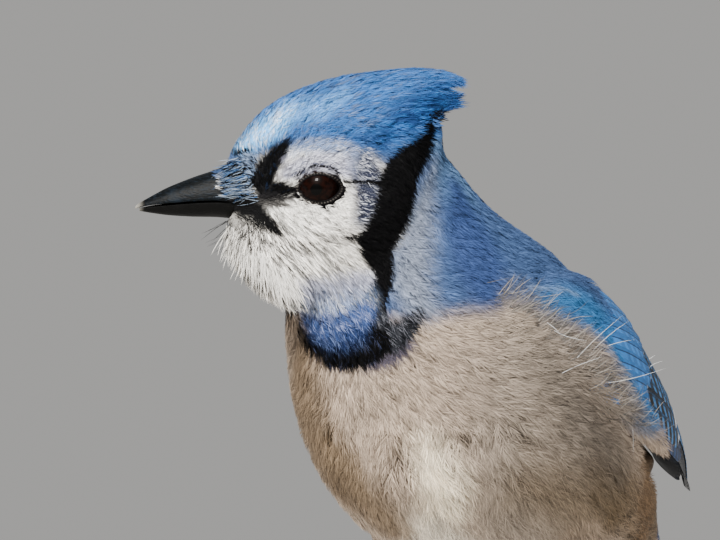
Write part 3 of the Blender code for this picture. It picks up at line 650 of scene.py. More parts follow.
# Body place, way, then length, half width, lift and looseness, where the picture doesn't show the bird
UNSEEN_LIE = (
    (13, -6, 132, -0.4, 0, -0.9, 6.0, 1.8, 0, 0.3), (4, -3, 123, -0.8, 0.1, -0.6, 7.0, 2.2, 0, 0.3),
    (-10, 0, 112, -0.85, 0, -0.5, 8.5, 2.6, 0, 0.3), (-24, 0, 103, -0.86, 0, -0.5, 9.0, 2.8, 0, 0.3),
    (-40, 0, 90, -0.88, 0, -0.48, 10.0, 3.0, 0, 0.4), (-54, 0, 77, -0.9, 0, -0.44, 11.0, 3.0, 0, 0.5),
    (-66, 0, 66, -0.92, 0, -0.4, 12.0, 3.0, 0, 0.5), (-80, 0, 55, -0.94, 0, -0.34, 12.0, 2.8, 0, 0.5),
    (-60, 14, 62, -0.9, 0.05, -0.3, 12.0, 2.8, 0.1, 0.6), (-45, 22, 66, -0.9, 0, -0.35, 11.0, 2.8, 0.1, 0.7),
    (22, 0, 50, -0.75, 0, -0.6, 12.0, 2.7, 0.3, 0.9), (5, 0, 43, -0.97, 0, -0.2, 12.0, 2.8, 0.3, 0.9),
    (-20, 0, 41, -1, 0, 0, 13.0, 2.8, 0.3, 0.9), (-50, 0, 42, -1, 0, 0, 14.0, 2.8, 0.2, 0.8),
    (-75, 0, 44, -0.97, 0, -0.15, 16.0, 2.6, 0.1, 0.6), (-88, 0, 45, -0.93, 0, -0.36, 16.0, 2.4, 0.1, 0.5),
    (-30, 26, 56, -0.92, 0, -0.2, 12.5, 2.8, 0.3, 0.9), (-15, 28, 56, -0.85, 0, -0.4, 12.0, 2.8, 0.3, 0.9),
    (-60, 12, 46, -0.97, 0, -0.1, 13.0, 2.7, 0.2, 0.8), (-2, 18, 56, -0.45, 0.1, -0.85, 8.0, 2.2, 0.2, 0.8),
    (-7, 17, 47, -0.35, 0, -0.93, 5.5, 1.7, 0.1, 0.6), (-12, 17, 39, -0.3, 0, -0.95, 3.4, 1.2, 0, 0.5),
)


class Lie:
    """The lie of the coat over the whole bird: way, length, half width, lift and looseness at any place."""

    eye_reach = (5.4, 8.0)

    def __init__(self, form: Surface) -> None:
        """Places the guides on the form, and their twins on the other side.

        Args:
            form: the outer form of the plumage.
        """
        spots, outs, kept = form.seen(SEEN_LIE)
        rows = np.array(SEEN_LIE)[kept]
        angle = np.radians(rows[:, 2:3])
        flat = np.cos(angle) * STANCE.view_right - np.sin(angle) * STANCE.up
        facing = np.maximum(dot(outs, STANCE.to_camera), 0.3)
        ways = unit(flat - dot(flat, outs) / facing * STANCE.to_camera)
        unseen = np.array(UNSEEN_LIE)
        spots = np.vstack([spots, unseen[:, :3]])
        ways = np.vstack([ways, unit(unseen[:, 3:6])])
        sizes = np.vstack([rows[:, 3:], unseen[:, 6:]])
        others = STANCE.mirror(spots)
        other_ways = unit(STANCE.mirror(spots + ways) - others)
        self.spots = np.vstack([spots, form.nearest(others)[0]])
        self.ways = np.vstack([ways, other_ways])
        self.sizes = np.vstack([sizes, sizes])
        eye = EYE_AT * np.array([1.0, 1.0, 1.0])
        twin = EYE_AT * np.array([1.0, -1.0, 1.0])
        self.eyes = STANCE.from_head(np.array([eye, twin]))

    def weights(self, places: Array) -> Array:
        """Share of each guide at each place."""
        squares = ((places[:, None] - self.spots[None]) ** 2).sum(-1)
        shares = 1.0 / (squares + 2.0) ** 2
        return shares / shares.sum(1, keepdims=True)

    def at(self, places: Array) -> tuple[Array, Array]:
        """The coat at each place.

        Args:
            places: points near the form.

        Returns:
            The ways, at length one, and the sizes: length, half width, lift and looseness.
        """
        parts = [self.weights(chunk) for chunk in np.array_split(places, max(1, len(places) // 20000))]
        weights = np.vstack(parts)
        ways = unit(weights @ self.ways)
        for eye in self.eyes:
            away = places - eye
            gap = np.linalg.norm(away, axis=1, keepdims=True)
            away /= gap
            inward = np.maximum(-dot(ways, away), 0.0)
            ways = unit(ways + away * inward * (1.0 - smoothstep(*self.eye_reach, gap)))
        return ways, weights @ self.sizes

    def depth(self, length: Array) -> Array:
        """How deep the skin lies under the tips, for a feather length."""
        return np.clip(0.24 * length, 0.5, 2.8)


@dataclass
class Pile:
    """Many small shapes gathered for one mesh."""

    name: str
    places: list[Array] = field(default_factory=list)
    loops: list[Array] = field(default_factory=list)
    counts: list[Array] = field(default_factory=list)
    pigment: list[Array] = field(default_factory=list)
    fibre: list[Array] = field(default_factory=list)
    patch: list[Array] = field(default_factory=list)
    total: int = 0
    triangles: int = 0

    def add(self, places: Array, faces: Array, counts: Array, pigment: Array, fibre: Array, patch: Array) -> None:
        """Adds shapes of one kind.

        Args:
            places: their vertices, shapes by vertices by 3.
            faces: corner numbers of one shape, in one row.
            counts: how many corners each of its faces has.
            pigment: linear colours, shapes by vertices by 3.
            fibre: shading values, shapes by vertices by 4.
            patch: bake map places, shapes by vertices by 2.
        """
        shapes, points = places.shape[:2]
        starts = self.total + np.arange(shapes)[:, None] * points
        self.places.append(places.reshape(-1, 3))
        self.loops.append((starts + faces[None]).ravel())
        self.counts.append(np.tile(counts, shapes))
        self.pigment.append(pigment.reshape(-1, 3))
        self.fibre.append(fibre.reshape(-1, 4))
        self.patch.append(patch.reshape(-1, 2))
        self.total += shapes * points
        self.triangles += shapes * int((counts - 2).sum())

    def build(self, smooth: bool = False) -> bpy.types.Object:
        """Makes the object, with its colours, shading values and bake map."""
        places, loops = np.vstack(self.places), np.concatenate(self.loops)
        counts = np.concatenate(self.counts)
        mesh = bpy.data.meshes.new(self.name)
        mesh.vertices.add(len(places))
        mesh.vertices.foreach_set("co", STANCE.to_world(places).astype(np.float32).ravel())
        mesh.loops.add(len(loops))
        mesh.loops.foreach_set("vertex_index", loops.astype(np.int32))
        mesh.polygons.add(len(counts))
        starts = np.concatenate([[0], np.cumsum(counts)[:-1]])
        mesh.polygons.foreach_set("loop_start", starts.astype(np.int32))
        mesh.polygons.foreach_set("use_smooth", np.full(len(counts), smooth))
        mesh.update(calc_edges=True)
        write_colors(mesh, "pigment", np.vstack(self.pigment))
        write_colors(mesh, "fibre", np.vstack(self.fibre))
        layer = mesh.uv_layers.new(name=BAKE_MAP)
        layer.data.foreach_set("uv", np.vstack(self.patch)[loops].astype(np.float32).ravel())
        return put(mesh, self.name)


def write_colors(mesh: bpy.types.Mesh, name: str, values: Array) -> None:
    """Writes three or four numbers a vertex as a colour attribute."""
    full = np.ones((len(values), 4), np.float32)
    full[:, : values.shape[1]] = values
    mesh.attributes.new(name, "FLOAT_COLOR", "POINT").data.foreach_set("color", full.ravel())


def blades(middles: Array, outs: Array, widths: Array) -> tuple[Array, Array, Array]:
    """Thin tapering blades along short curves.

    Args:
        middles: curve points, blades by points by 3.
        outs: the way each blade faces at each point.
        widths: full width at each point; the last point is the tip.

    Returns:
        Vertices, the corner numbers of one blade's faces, and the corners of each face.
    """
    ways = np.gradient(middles, axis=1)
    side = unit(np.cross(ways, outs)) * widths[..., None] / 2
    pairs = np.stack([middles - side, middles + side], 2)[:, :-1]
    places = np.concatenate([pairs.reshape(len(middles), -1, 3), middles[:, -1:]], 1)
    last = 2 * (middles.shape[1] - 2)
    corners = [i for k in range(0, last, 2) for i in (k, k + 1, k + 3, k + 2)] + [last, last + 1, last + 2]
    return places, np.array(corners), np.array([4] * (last // 2) + [3])


@dataclass(frozen=True)
class Weave:
    """How finely the feathers of a size are made."""

    longest: float
    barbs: int
    points: int
    thickness: float
    reach: float = 0.5


WEAVES = (Weave(3.0, 11, 3, 0.11), Weave(5.2, 16, 3, 0.12), Weave(7.6, 21, 3, 0.14), Weave(99.0, 28, 3, 0.15))


@dataclass
class Feathers:
    """Roots of a set of body feathers with the paths they take over the form."""

    paths: Array
    outs: Array
    sizes: Array
    depths: Array
    patches: Array

    @property
    def steps(self) -> int:
        """Points on each path."""
        return self.paths.shape[1]

    def part(self, which: Array) -> "Feathers":
        """The feathers picked by a mask or by numbers."""
        return Feathers(*(values[which] for values in (self.paths, self.outs, self.sizes, self.depths, self.patches)))

    def along(self, values: Array, place: Array) -> Array:
        """Values on the paths at a place from 0 to 1 and a little past it, feathers by barbs by points."""
        spot = np.clip(place, 0.0, 1.12) * (self.steps - 1)
        start = np.clip(spot.astype(int), 0, self.steps - 2)
        t = (spot - start)[..., None]
        rows = np.arange(len(values)).reshape(-1, *([1] * (place.ndim - 1)))
        return values[rows, start] * (1 - t) + values[rows, start + 1] * t


class Coat:
    """Body plumage: thousands of small loose feathers that follow the lie of the coat."""

    steps = 5
    bends = math.cos(math.radians(26.0))
    tries = 190000

    def __init__(self, form: Surface, flesh: Surface, lie: Lie, markings: Markings, seed: int) -> None:
        """Keeps what the feathers follow.

        Args:
            form: outer form of the plumage, wings, tail and bill included.
            flesh: the inset skin.
            lie: the lie of the coat.
            markings: the colours.
            seed: seed of the random numbers.
        """
        self.form = form
        self.flesh = flesh
        self.lie = lie
        self.markings = markings
        self.rng = np.random.default_rng(seed)

    def trace(self, roots: Array, lengths: Array) -> tuple[Array, Array]:
        """Paths of feathers over the form: they run straight on where it falls away too fast."""
        places, outs, _ = self.form.nearest(roots)
        step = (lengths / (self.steps - 1))[:, None]
        ways = None
        line, faces = [places], [outs]
        for _ in range(self.steps - 1):
            wanted = self.lie.at(places)[0]
            if ways is None:
                turn = self.rng.normal(0, 0.16, (len(places), 1))
                wanted = wanted + np.cross(outs, wanted) * turn
            else:
                wanted = 0.5 * wanted + 0.5 * ways
            ways = unit(wanted - dot(wanted, outs) * outs)
            ahead = places + ways * step
            snapped, new_outs, _ = self.form.nearest(ahead)
            moved = unit(snapped - places)
            firm = dot(moved, ways) < self.bends
            straight = places + unit(ways + 0.3 * moved) * step
            places = np.where(firm, straight, snapped)
            outs = unit(np.where(firm, 0.75 * outs + 0.25 * new_outs, new_outs))
            line.append(places)
            faces.append(outs)
        return np.stack(line, 1), np.stack(faces, 1)

    def feathers(self, roots: Array) -> Feathers:
        """Feathers at these roots, with their sizes and bake map places."""
        sizes = self.lie.at(roots)[1]
        sizes[:, 0] *= self.rng.uniform(0.82, 1.14, len(roots))
        sizes[:, 1] *= self.rng.uniform(0.85, 1.15, len(roots))
        paths, outs = self.trace(roots, sizes[:, 0])
        return Feathers(paths, outs, sizes, self.lie.depth(sizes[:, 0]), self.flesh_map(roots))

    def flesh_map(self, places: Array) -> Array:
        """Places of these points on the skin's unwrap."""
        _, _, faces = self.flesh.nearest(places)
        return self.flesh.unwrap[faces]

    def tufts(self, pile: Pile, feathers: Feathers, weave: Weave) -> None:
        """Adds a fan of fine barbs for each feather."""
        count, barbs, points = len(feathers.paths), weave.barbs, weave.points
        rng = self.rng
        length, half, lift, loose = (feathers.sizes[:, i, None, None] for i in range(4))
        depth = feathers.depths[:, None, None]
        start = np.linspace(0.08, 0.84, barbs)[None, :, None] + rng.uniform(-0.04, 0.04, (count, barbs, 1))
        side = np.where(np.arange(barbs) % 2, 1.0, -1.0)[None, :, None]
        reach = (weave.reach - 0.44 * weave.reach * start) * rng.uniform(0.75, 1.2, (count, barbs, 1))
        t = np.linspace(0.0, 1.0, points)[None, None]
        place = start + reach * t
        envelope = np.sin(np.pi * np.clip(0.12 + 0.80 * (start + 0.6 * reach), 0, 1))
        spread = side * half * envelope * rng.uniform(0.35, 1.1, (count, barbs, 1))
        stray = rng.normal(0, 0.16, (count, barbs, 1)) * loose * half * t**1.5
        clump = smoothstep(0.45, 0.9, loose) * (1.0 - 0.7 * smoothstep(7.0, 10.0, length))
        across = spread * (1 - (1 - t) ** 1.7) * (1.0 - 0.75 * clump * smoothstep(0.2, 1.0, place)) + stray
        rise = rng.normal(0, 0.16, (count, barbs, 1)) * loose * t + lift * place**2
        height = rise - depth * (1 - np.clip(place, 0, 1)) ** 1.3
        middle = feathers.along(feathers.paths, place)
        out = unit(feathers.along(feathers.outs, place))
        way = feathers.along(np.gradient(feathers.paths, axis=1), place)
        beside = unit(np.cross(way, out))
        ground = middle + beside * across[..., None]
        roll = rng.normal(0, 0.35, (count, barbs, 1, 1))
        facing = unit(out + beside * roll)
        spots = (ground + out * height[..., None]).reshape(-1, points, 3)
        thick = weave.thickness * (1.0 - 0.45 * t) * rng.uniform(0.75, 1.25, (count, barbs, 1))
        shape, corners, sides = blades(spots, facing.reshape(-1, points, 3), thick.reshape(-1, points))
        own = smoothstep(7.0, 9.0, length)[..., 0, None] * 0.8
        heart = feathers.paths[:, None, self.steps // 2]
        sample = (ground[:, :, 1] * (1 - own) + heart * own).reshape(-1, 3)
        sample += rng.normal(0, 0.12, (count * barbs, 3))
        shared = rng.random((count, 1))
        luck = np.where(rng.random((count, barbs)) < 0.6, shared, rng.random((count, barbs))).ravel()
        color = np.repeat(self.markings.colors(sample, luck)[:, None], shape.shape[1], 1)
        along = np.concatenate([np.repeat(place[..., :-1], 2, -1), place[..., -1:]], -1)
        wide = np.concatenate([np.repeat(across[..., :-1], 2, -1), across[..., -1:]], -1)
        feather = np.broadcast_to(rng.random((count, 1, 1)), along.shape)
        barb = np.broadcast_to(rng.random((count, barbs, 1)), along.shape)
        fibre = np.stack([np.clip(along, 0, 1), barb, feather, np.broadcast_to(loose, along.shape)], -1)
        local = np.stack([np.clip(along, 0, 1), np.clip(0.5 + 0.5 * wide / half, 0, 1)], -1) - 0.5
        patch = feathers.patches[:, None, None] + PATCH * local
        verts = shape.shape[1]
        pile.add(shape, corners, sides, color, fibre.reshape(-1, verts, 4), patch.reshape(-1, verts, 2))


class Skin:
    """One skin over all the flesh, inside it by the depth of the coat."""

    voxel = 0.9
    rounds = 8

    def __init__(self) -> None:
        """Melts the flesh nodes together."""
        self.obj = joined_nodes("skin", FLESH, 0.35, self.voxel, self.rounds)
        self.outer = Surface(self.obj)

    def build(self, lie: Lie, keepers: Surface) -> Surface:
        """Moves the skin in by the coat's depth, unwraps it and gives it as a surface.

        Args:
            lie: gives the length of the feathers.
            keepers: form of what stays bare, such as bill and eyes, which the skin must keep touching.

        Returns:
            The skin's surface, with the unwrap's places in its field unwrap.
        """
        outer = self.outer
        depth = lie.depth(lie.at(outer.places)[1][:, 0])
        depth = np.minimum(depth, 0.3 * outer.thickness())
        depth = np.minimum(depth, np.maximum(keepers.distances(outer.places) - 0.25, 0.0) * 0.8)
        head = STANCE.to_head(outer.places)
        near_eye = np.hypot(head[:, 0] - EYE_AT[0], head[:, 2] - EYE_AT[2])
        depth += 1.3 * (1.0 - smoothstep(4.8, 7.5, near_eye)) * (np.abs(head[:, 1]) > 6)
        places = outer.places - outer.outs * depth[:, None]
        moved(self.obj, self.short_crest(places))
        apply(self.obj, "SMOOTH", factor=0.5, iterations=3)
        only(self.obj)
        bpy.ops.object.mode_set(mode="EDIT")
        bpy.ops.mesh.select_all(action="SELECT")
        bpy.ops.uv.smart_project(angle_limit=math.radians(70), island_margin=0.002)
        bpy.ops.object.mode_set(mode="OBJECT")
        bpy.ops.object.shade_smooth()
        surface = Surface(self.obj)
        layer = self.obj.data.uv_layers[0]
        layer.name = BAKE_MAP
        flat = np.empty(len(layer.data) * 2)
        layer.data.foreach_get("uv", flat)
        starts = np.array([face.loop_start for face in self.obj.data.polygons])
        surface.unwrap = flat.reshape(-1, 2)[starts]
        return surface

    def short_crest(self, places: Array) -> Array:
        """The same places with the crest's end drawn in, so that its feathers can part."""
        head = STANCE.to_head(places)
        past = np.minimum(head[:, 0] + 13.0, 0.0)
        crest = smoothstep(12.5, 15.5, head[:, 2]) * (past < 0)
        share = crest * smoothstep(0.0, 6.0, -past) * 0.45
        head[:, 0] -= past * 0.72 * crest
        head[:, 1] *= 1.0 - share
        head[:, 2] += (18.5 - head[:, 2]) * share
        return STANCE.from_head(head)

    def dress(self, markings: Markings) -> None:
        """Writes the markings on the skin."""
        flat = np.empty(len(self.obj.data.vertices) * 3)
        self.obj.data.vertices.foreach_get("co", flat)
        places = STANCE.from_world(flat.reshape(-1, 3))
        write_colors(self.obj.data, "pigment", markings.colors(places))
        self.obj.data.materials.append(SkinFinish().material())


class Field:
    """A shader socket that takes part in Python sums."""

    def __init__(self, nodes: "Nodes", socket: object) -> None:
        """Wraps a socket of a material's nodes."""
        self.nodes = nodes
        self.socket = socket

    def math(self, operation: str, *others: object) -> "Field":
        """A Math node on this value and others."""
        return self.nodes.math(operation, self, *others)

    def __add__(self, other: object) -> "Field":
        """Sum."""
        return self.math("ADD", other)

    def __sub__(self, other: object) -> "Field":
        """Difference."""
        return self.math("SUBTRACT", other)

    def __mul__(self, other: object) -> "Field":
        """Product."""
        return self.math("MULTIPLY", other)

    def __rsub__(self, other: object) -> "Field":
        """Difference from a number."""
        return self.nodes.math("SUBTRACT", other, self)

    __radd__ = __add__
    __rmul__ = __mul__

    def steps(self, low: float, high: float) -> "Field":
        """Smooth rise from 0 at low to 1 at high."""
        node = self.nodes.node(
            "ShaderNodeMapRange", {"interpolation_type": "SMOOTHSTEP"}, {"Value": self, "From Min": low, "From Max": high}
        )
        return Field(self.nodes, node.outputs["Result"])


class Nodes:
    """The node tree of one material."""

    def __init__(self, name: str) -> None:
        """Starts an empty material with a surface shader."""
        self.made = bpy.data.materials.new(name)
        self.made.use_nodes = True
        self.tree = self.made.node_tree
        self.tree.nodes.clear()
        self.shader = self.tree.nodes.new("ShaderNodeBsdfPrincipled")
        output = self.tree.nodes.new("ShaderNodeOutputMaterial")
        self.tree.links.new(self.shader.outputs[0], output.inputs["Surface"])

    def node(self, kind: str, settings: dict[str, object], values: dict[object, object]) -> bpy.types.Node:
        """Adds a node.

        Args:
            kind: its type.
            settings: properties that are set first.
            values: numbers, colours or fields for its sockets, by name or number.

        Returns:
            The node.
        """
        node = self.tree.nodes.new(kind)
        for key, value in settings.items():
            setattr(node, key, value)
        for key, value in values.items():
            self.feed(node.inputs[key], value)
        return node

    def feed(self, socket: object, value: object) -> None:
        """Sets a socket to a number or colour, or links a field to it."""
        if isinstance(value, Field):
            self.tree.links.new(value.socket, socket)
        elif isinstance(value, (tuple, list, np.ndarray)) and socket.type == "RGBA":
            socket.default_value = (*value, 1.0)[:4]
        else:
            socket.default_value = value

    def math(self, operation: str, *values: object) -> Field:
        """A Math node on numbers or fields."""
        node = self.node("ShaderNodeMath", {"operation": operation}, dict(enumerate(values)))
        return Field(self, node.outputs[0])

    def mix(self, factor: object, low: object, high: object, blend: str = "MIX") -> Field:
        """A colour between two."""
        node = self.node("ShaderNodeMix", {"data_type": "RGBA", "blend_type": blend}, {0: factor, 6: low, 7: high})
        return Field(self, node.outputs[2])

    def attribute(self, name: str) -> tuple[Field, Field, Field, Field, Field]:
        """A colour attribute: the colour, its three numbers and its alpha."""
        source = self.node("ShaderNodeAttribute", {"attribute_name": name}, {})
        color = Field(self, source.outputs["Color"])
        parts = self.node("ShaderNodeSeparateColor", {}, {0: color})
        return (color, *(Field(self, parts.outputs[i]) for i in range(3)), Field(self, source.outputs["Alpha"]))

    def noise(self, scale: float, detail: float = 2.0, stretch: tuple[float, float, float] = (1, 1, 1)) -> Field:
        """Noise over the object, with its scale in turns a metre."""
        place = self.node("ShaderNodeTexCoord", {}, {})
        spot = Field(self, place.outputs["Object"])
        if stretch != (1, 1, 1):
            mapping = self.node("ShaderNodeMapping", {}, {"Vector": spot, "Scale": stretch})
            spot = Field(self, mapping.outputs[0])
        node = self.node("ShaderNodeTexNoise", {}, {"Vector": spot, "Scale": scale, "Detail": detail})
        return Field(self, node.outputs[0])

    def bump(self, height: Field, distance: float, strength: float = 1.0) -> None:
        """Bumps the surface by a height."""
        node = self.node("ShaderNodeBump", {}, {"Height": height, "Distance": distance, "Strength": strength})
        self.feed(self.shader.inputs["Normal"], Field(self, node.outputs[0]))

    def finish(self, color: object, roughness: object, **constants: float) -> bpy.types.Material:
        """Feeds the shader and gives the material.

        Args:
            color: base colour.
            roughness: roughness.
            constants: other sockets, their names with underscores.

        Returns:
            The material.
        """
        self.feed(self.shader.inputs["Base Color"], color)
        self.feed(self.shader.inputs["Roughness"], roughness)
        for key, value in constants.items():
            self.feed(self.shader.inputs[key.replace("_", " ")], value)
        return self.made


@dataclass(frozen=True)
class SkinFinish:
    """Downy skin between the feathers: the markings, darkened by a share as painted shade deep in the coat."""

    name: str = "skin_down_shaded"
    shade: float = 0.4

    def material(self) -> bpy.types.Material:
        """Makes the material."""
        nodes = Nodes(self.name)
        pigment = nodes.attribute("pigment")[0]
        fine = nodes.noise(2600.0, 3.0)
        # Painted shade: the markings mixed towards black.
        dark = nodes.mix(self.shade + 0.3 * fine, pigment, (0.008, 0.008, 0.009))
        nodes.bump(fine, 0.0004)
        return nodes.finish(dark, 0.85 - 0.15 * fine, Specular_IOR_Level=0.05)


@dataclass(frozen=True)
class PlumageFinish:
    """Soft barbs: the markings, with every barb and feather a little different, painted shade towards the roots, partly
    the feathers' own grey bases, and painted shadow in the gaps between loose plumes.
    """

    name: str
    roughness: float = 0.6

    def material(self) -> bpy.types.Material:
        """Makes the material."""
        nodes = Nodes(self.name)
        pigment = nodes.attribute("pigment")[0]
        _, along, barb, feather, loose = nodes.attribute("fibre")
        patchy = nodes.noise(160.0, 3.0)
        light = 1.0 + (barb - 0.5) * (0.45 + loose * 0.7) + (feather - 0.5) * 0.3 + (patchy - 0.5) * 0.35
        # Painted shade towards the feather roots, partly their own grey bases.
        root = 0.42 + 0.58 * along.steps(0.05, 0.6)
        # Painted shadow: a share of the barbs of loose plumes darkened as the deep gaps between them.
        gaps = loose.steps(0.55, 0.95) * (1.0 - (feather * 0.7 + barb * 0.3).steps(0.14, 0.56)) * 0.8
        value = light * root * (1.0 - gaps)
        grey = nodes.node("ShaderNodeCombineColor", {}, {0: value, 1: value, 2: value})
        shaded = nodes.mix(1.0, pigment, Field(nodes, grey.outputs[0]), "MULTIPLY")
        return nodes.finish(shaded, self.roughness + 0.2 * barb, Specular_IOR_Level=0.06)


@dataclass(frozen=True)
class VaneFinish:
    """Wing and tail vanes: blue with black bars, white tips, a dark shaft and fine barb lines."""

    name: str

    def material(self) -> bpy.types.Material:
        """Makes the material."""
        nodes = Nodes(self.name)
        pigment, *_ = nodes.attribute("pigment")
        _, tip, across, seed, bars = nodes.attribute("fibre")
        _, white, dusk, reach, pitch = nodes.attribute("vane")
        edge = (across * 2.0 - 1.0).math("ABSOLUTE")
        wander = (nodes.noise(220.0) - 0.5) * 1.6
        slope = tip * 200.0 + edge * 1.4 + wander
        wave = (slope * (2 * math.pi) * pitch + seed * 2.0).math("SINE")
        bar = wave.steps(-0.45, 0.05) * bars * reach
        lines = ((tip * 200.0 - edge * 4.5) * 16.0).math("SINE")
        shaft = 1.0 - edge.steps(0.03, 0.08)
        light = 0.9 + 0.12 * lines + 0.4 * (nodes.noise(300.0) - 0.5)
        grey = nodes.node("ShaderNodeCombineColor", {}, {0: light, 1: light, 2: light})
        base = nodes.mix(1.0, pigment, Field(nodes, grey.outputs[0]), "MULTIPLY")
        base = nodes.mix(dusk, base, (0.010, 0.011, 0.014))
        base = nodes.mix(bar, base, (0.003, 0.003, 0.004))
        base = nodes.mix(shaft * 0.8, base, (0.006, 0.006, 0.008))
        reached = (tip * 200.0 + edge * 0.8 - white * 20.0).steps(-0.6, 0.6)
        base = nodes.mix(1.0 - reached, base, (0.70, 0.71, 0.74))
        nodes.bump(lines, 0.00005)
        return nodes.finish(base, 0.5 + 0.1 * lines, Specular_IOR_Level=0.16)


@dataclass(frozen=True)
class HornFinish:
    """Dark horn of bill, claws or legs, with fine lengthwise streaks and lighter places: wear, and on the upper bill
    painted sheen.
    """

    name: str
    color: tuple[float, float, float]
    wear_and_sheen: tuple[float, float, float]
    roughness: float
    grain: float = 900.0
    pale: bool = False

    def material(self) -> bpy.types.Material:
        """Makes the material."""
        nodes = Nodes(self.name)
        streaks = nodes.noise(self.grain, 4.0, (1.0, 1.0, 3.0))
        broad = nodes.noise(self.grain / 6, 2.0)
        mix = streaks.steps(0.45, 0.75) * 0.5 + broad.steps(0.5, 0.7) * 0.4
        color = nodes.mix(mix, tone(*self.color), tone(*self.wear_and_sheen))
        # Lightened towards the pale tip from the pigment: wear, with a painted highlight.
        if self.pale:
            color = nodes.mix(1.0, color, nodes.attribute("pigment")[0], "LIGHTEN")
        nodes.bump(streaks, 0.00008)
        return nodes.finish(color, self.roughness + 0.15 * streaks, Specular_IOR_Level=0.07)


UPPER_BILL = (
    (19.0, -3.0, 4.6, 8.6, 0.02), (24.0, -2.6, 4.6, 8.4, 0.02), (29.0, -2.4, 3.9, 6.4, 0.02),
    (34.0, -2.6, 3.2, 4.9, 0.02), (39.0, -3.0, 2.4, 3.3, 0.02), (43.0, -3.4, 1.5, 1.7, 0.02),
    (45.4, -3.7, 0.8, 0.7, 0.25), (46.3, -4.0, 0.3, 0.25, 0.2),
)
LOWER_BILL = (
    (19.0, -3.5, 4.2, 0.50, 3.4), (24.0, -3.1, 4.1, 0.52, 3.3), (29.0, -2.9, 3.4, 0.52, 3.1),
    (34.0, -3.1, 2.7, 0.52, 2.8), (39.0, -3.5, 1.9, 0.50, 2.1), (42.8, -3.9, 1.15, 0.42, 1.2),
    (45.4, -4.25, 0.45, 0.2, 0.4),
)


def grid_faces(rows: int, columns: int, closed: bool) -> list[tuple[int, ...]]:
    """Faces of a grid of points, row by row, whose rows may close on themselves."""
    wrap = columns if closed else columns - 1
    return [
        (r * columns + c, r * columns + (c + 1) % columns, (r + 1) * columns + (c + 1) % columns, (r + 1) * columns + c)
        for r in range(rows - 1)
        for c in range(wrap)
    ]


def solid_of(name: str, rings: Array) -> bpy.types.Object:
    """Closed mesh through rings of points, with a fan on each end."""
    rows, columns = rings.shape[:2]
    places = np.vstack([rings.reshape(-1, 3), rings[0].mean(0)[None], rings[-1].mean(0)[None]])
    faces = grid_faces(rows, columns, True)
    faces += [((c + 1) % columns, c, rows * columns) for c in range(columns)]
    last = (rows - 1) * columns
    faces += [(last + c, last + (c + 1) % columns, rows * columns + 1) for c in range(columns)]
    mesh = bpy.data.meshes.new(name)
    mesh.from_pydata(STANCE.to_world(places).tolist(), [], faces)
    obj = put(mesh, name)
    outward(obj)
    return obj


def tube(name: str, line: Array, radii: Array, columns: int, side: Array) -> bpy.types.Object:
    """Closed tube along a line.

    Args:
        name: name of the new object.
        line: points in the body frame.
        radii: a radius for each point, or a row of them with one for each column.
        columns: how many points go round.
        side: a way that is square to the line all along.

    Returns:
        The new object.
    """
    ways = unit(np.gradient(line, axis=0))
    sides = unit(np.broadcast_to(side, line.shape) - dot(np.broadcast_to(side, line.shape), ways) * ways)
    lifts = np.cross(sides, ways)
    angle = np.linspace(0, 2 * np.pi, columns, endpoint=False)
    radii = np.broadcast_to(radii.reshape(len(line), -1), (len(line), columns))
    rings = line[:, None] + radii[..., None] * (
        np.cos(angle)[None, :, None] * sides[:, None] + np.sin(angle)[None, :, None] * lifts[:, None]
    )
    rings[..., 2] = np.maximum(rings[..., 2], 0.03)
    return solid_of(name, rings)


class Bill:
    """The two halves of the closed bill."""

    power = 1.75
    columns = 48

    def half(self, name: str, table: tuple, upper: bool) -> bpy.types.Object:
        """One half: a loft whose flat side is the gape."""
        rows = refined(table, 8)
        angle = np.linspace(0, 2 * np.pi, self.columns, endpoint=False)
        c, s = np.cos(angle), np.sin(angle)
        rings = []
        for fwd, level, half, above, below in rows:
            side = np.sign(c) * np.abs(c) ** (2 / self.power) * half
            reach = np.where(s > 0, above, below)
            rise = np.sign(s) * np.abs(s) ** (2 / self.power) * reach
            if upper:
                rise = rise + 0.25 * np.exp(-((side / 0.5) ** 2)) * (s > 0) * min(above / 3, 1)
            rings.append(np.column_stack([np.full(self.columns, fwd), side, level + rise]))
        return solid_of(name, STANCE.from_head(np.array(rings)))

    def build(self) -> list[bpy.types.Object]:
        """Makes both halves."""
        finishes = {
            # The upper horn's lighter bluish places are painted sheen on the top of the bill.
            "bill_upper": HornFinish("upper_horn", (1, 3, 5), (18, 28, 38), 0.40, pale=True).material(),
            "bill_lower": HornFinish("lower_horn", (1, 1, 1), (6, 6, 6), 0.5, pale=True).material(),
        }
        pieces = []
        for name, table in (("bill_upper", UPPER_BILL), ("bill_lower", LOWER_BILL)):
            obj = self.half(name + "_horn", table, name == "bill_upper")
            flat = np.empty(len(obj.data.vertices) * 3)
            obj.data.vertices.foreach_get("co", flat)
            fwd = STANCE.to_head(STANCE.from_world(flat.reshape(-1, 3)))[:, :1]
            # Pale tip: wear, with a painted highlight.
            write_colors(obj.data, "pigment", smoothstep(44.2, 46.5, fwd) * tone(128, 126, 120))
            obj.data.materials.append(finishes[name])
            pieces.append(settle(obj, "bill_horn", name))
        return pieces


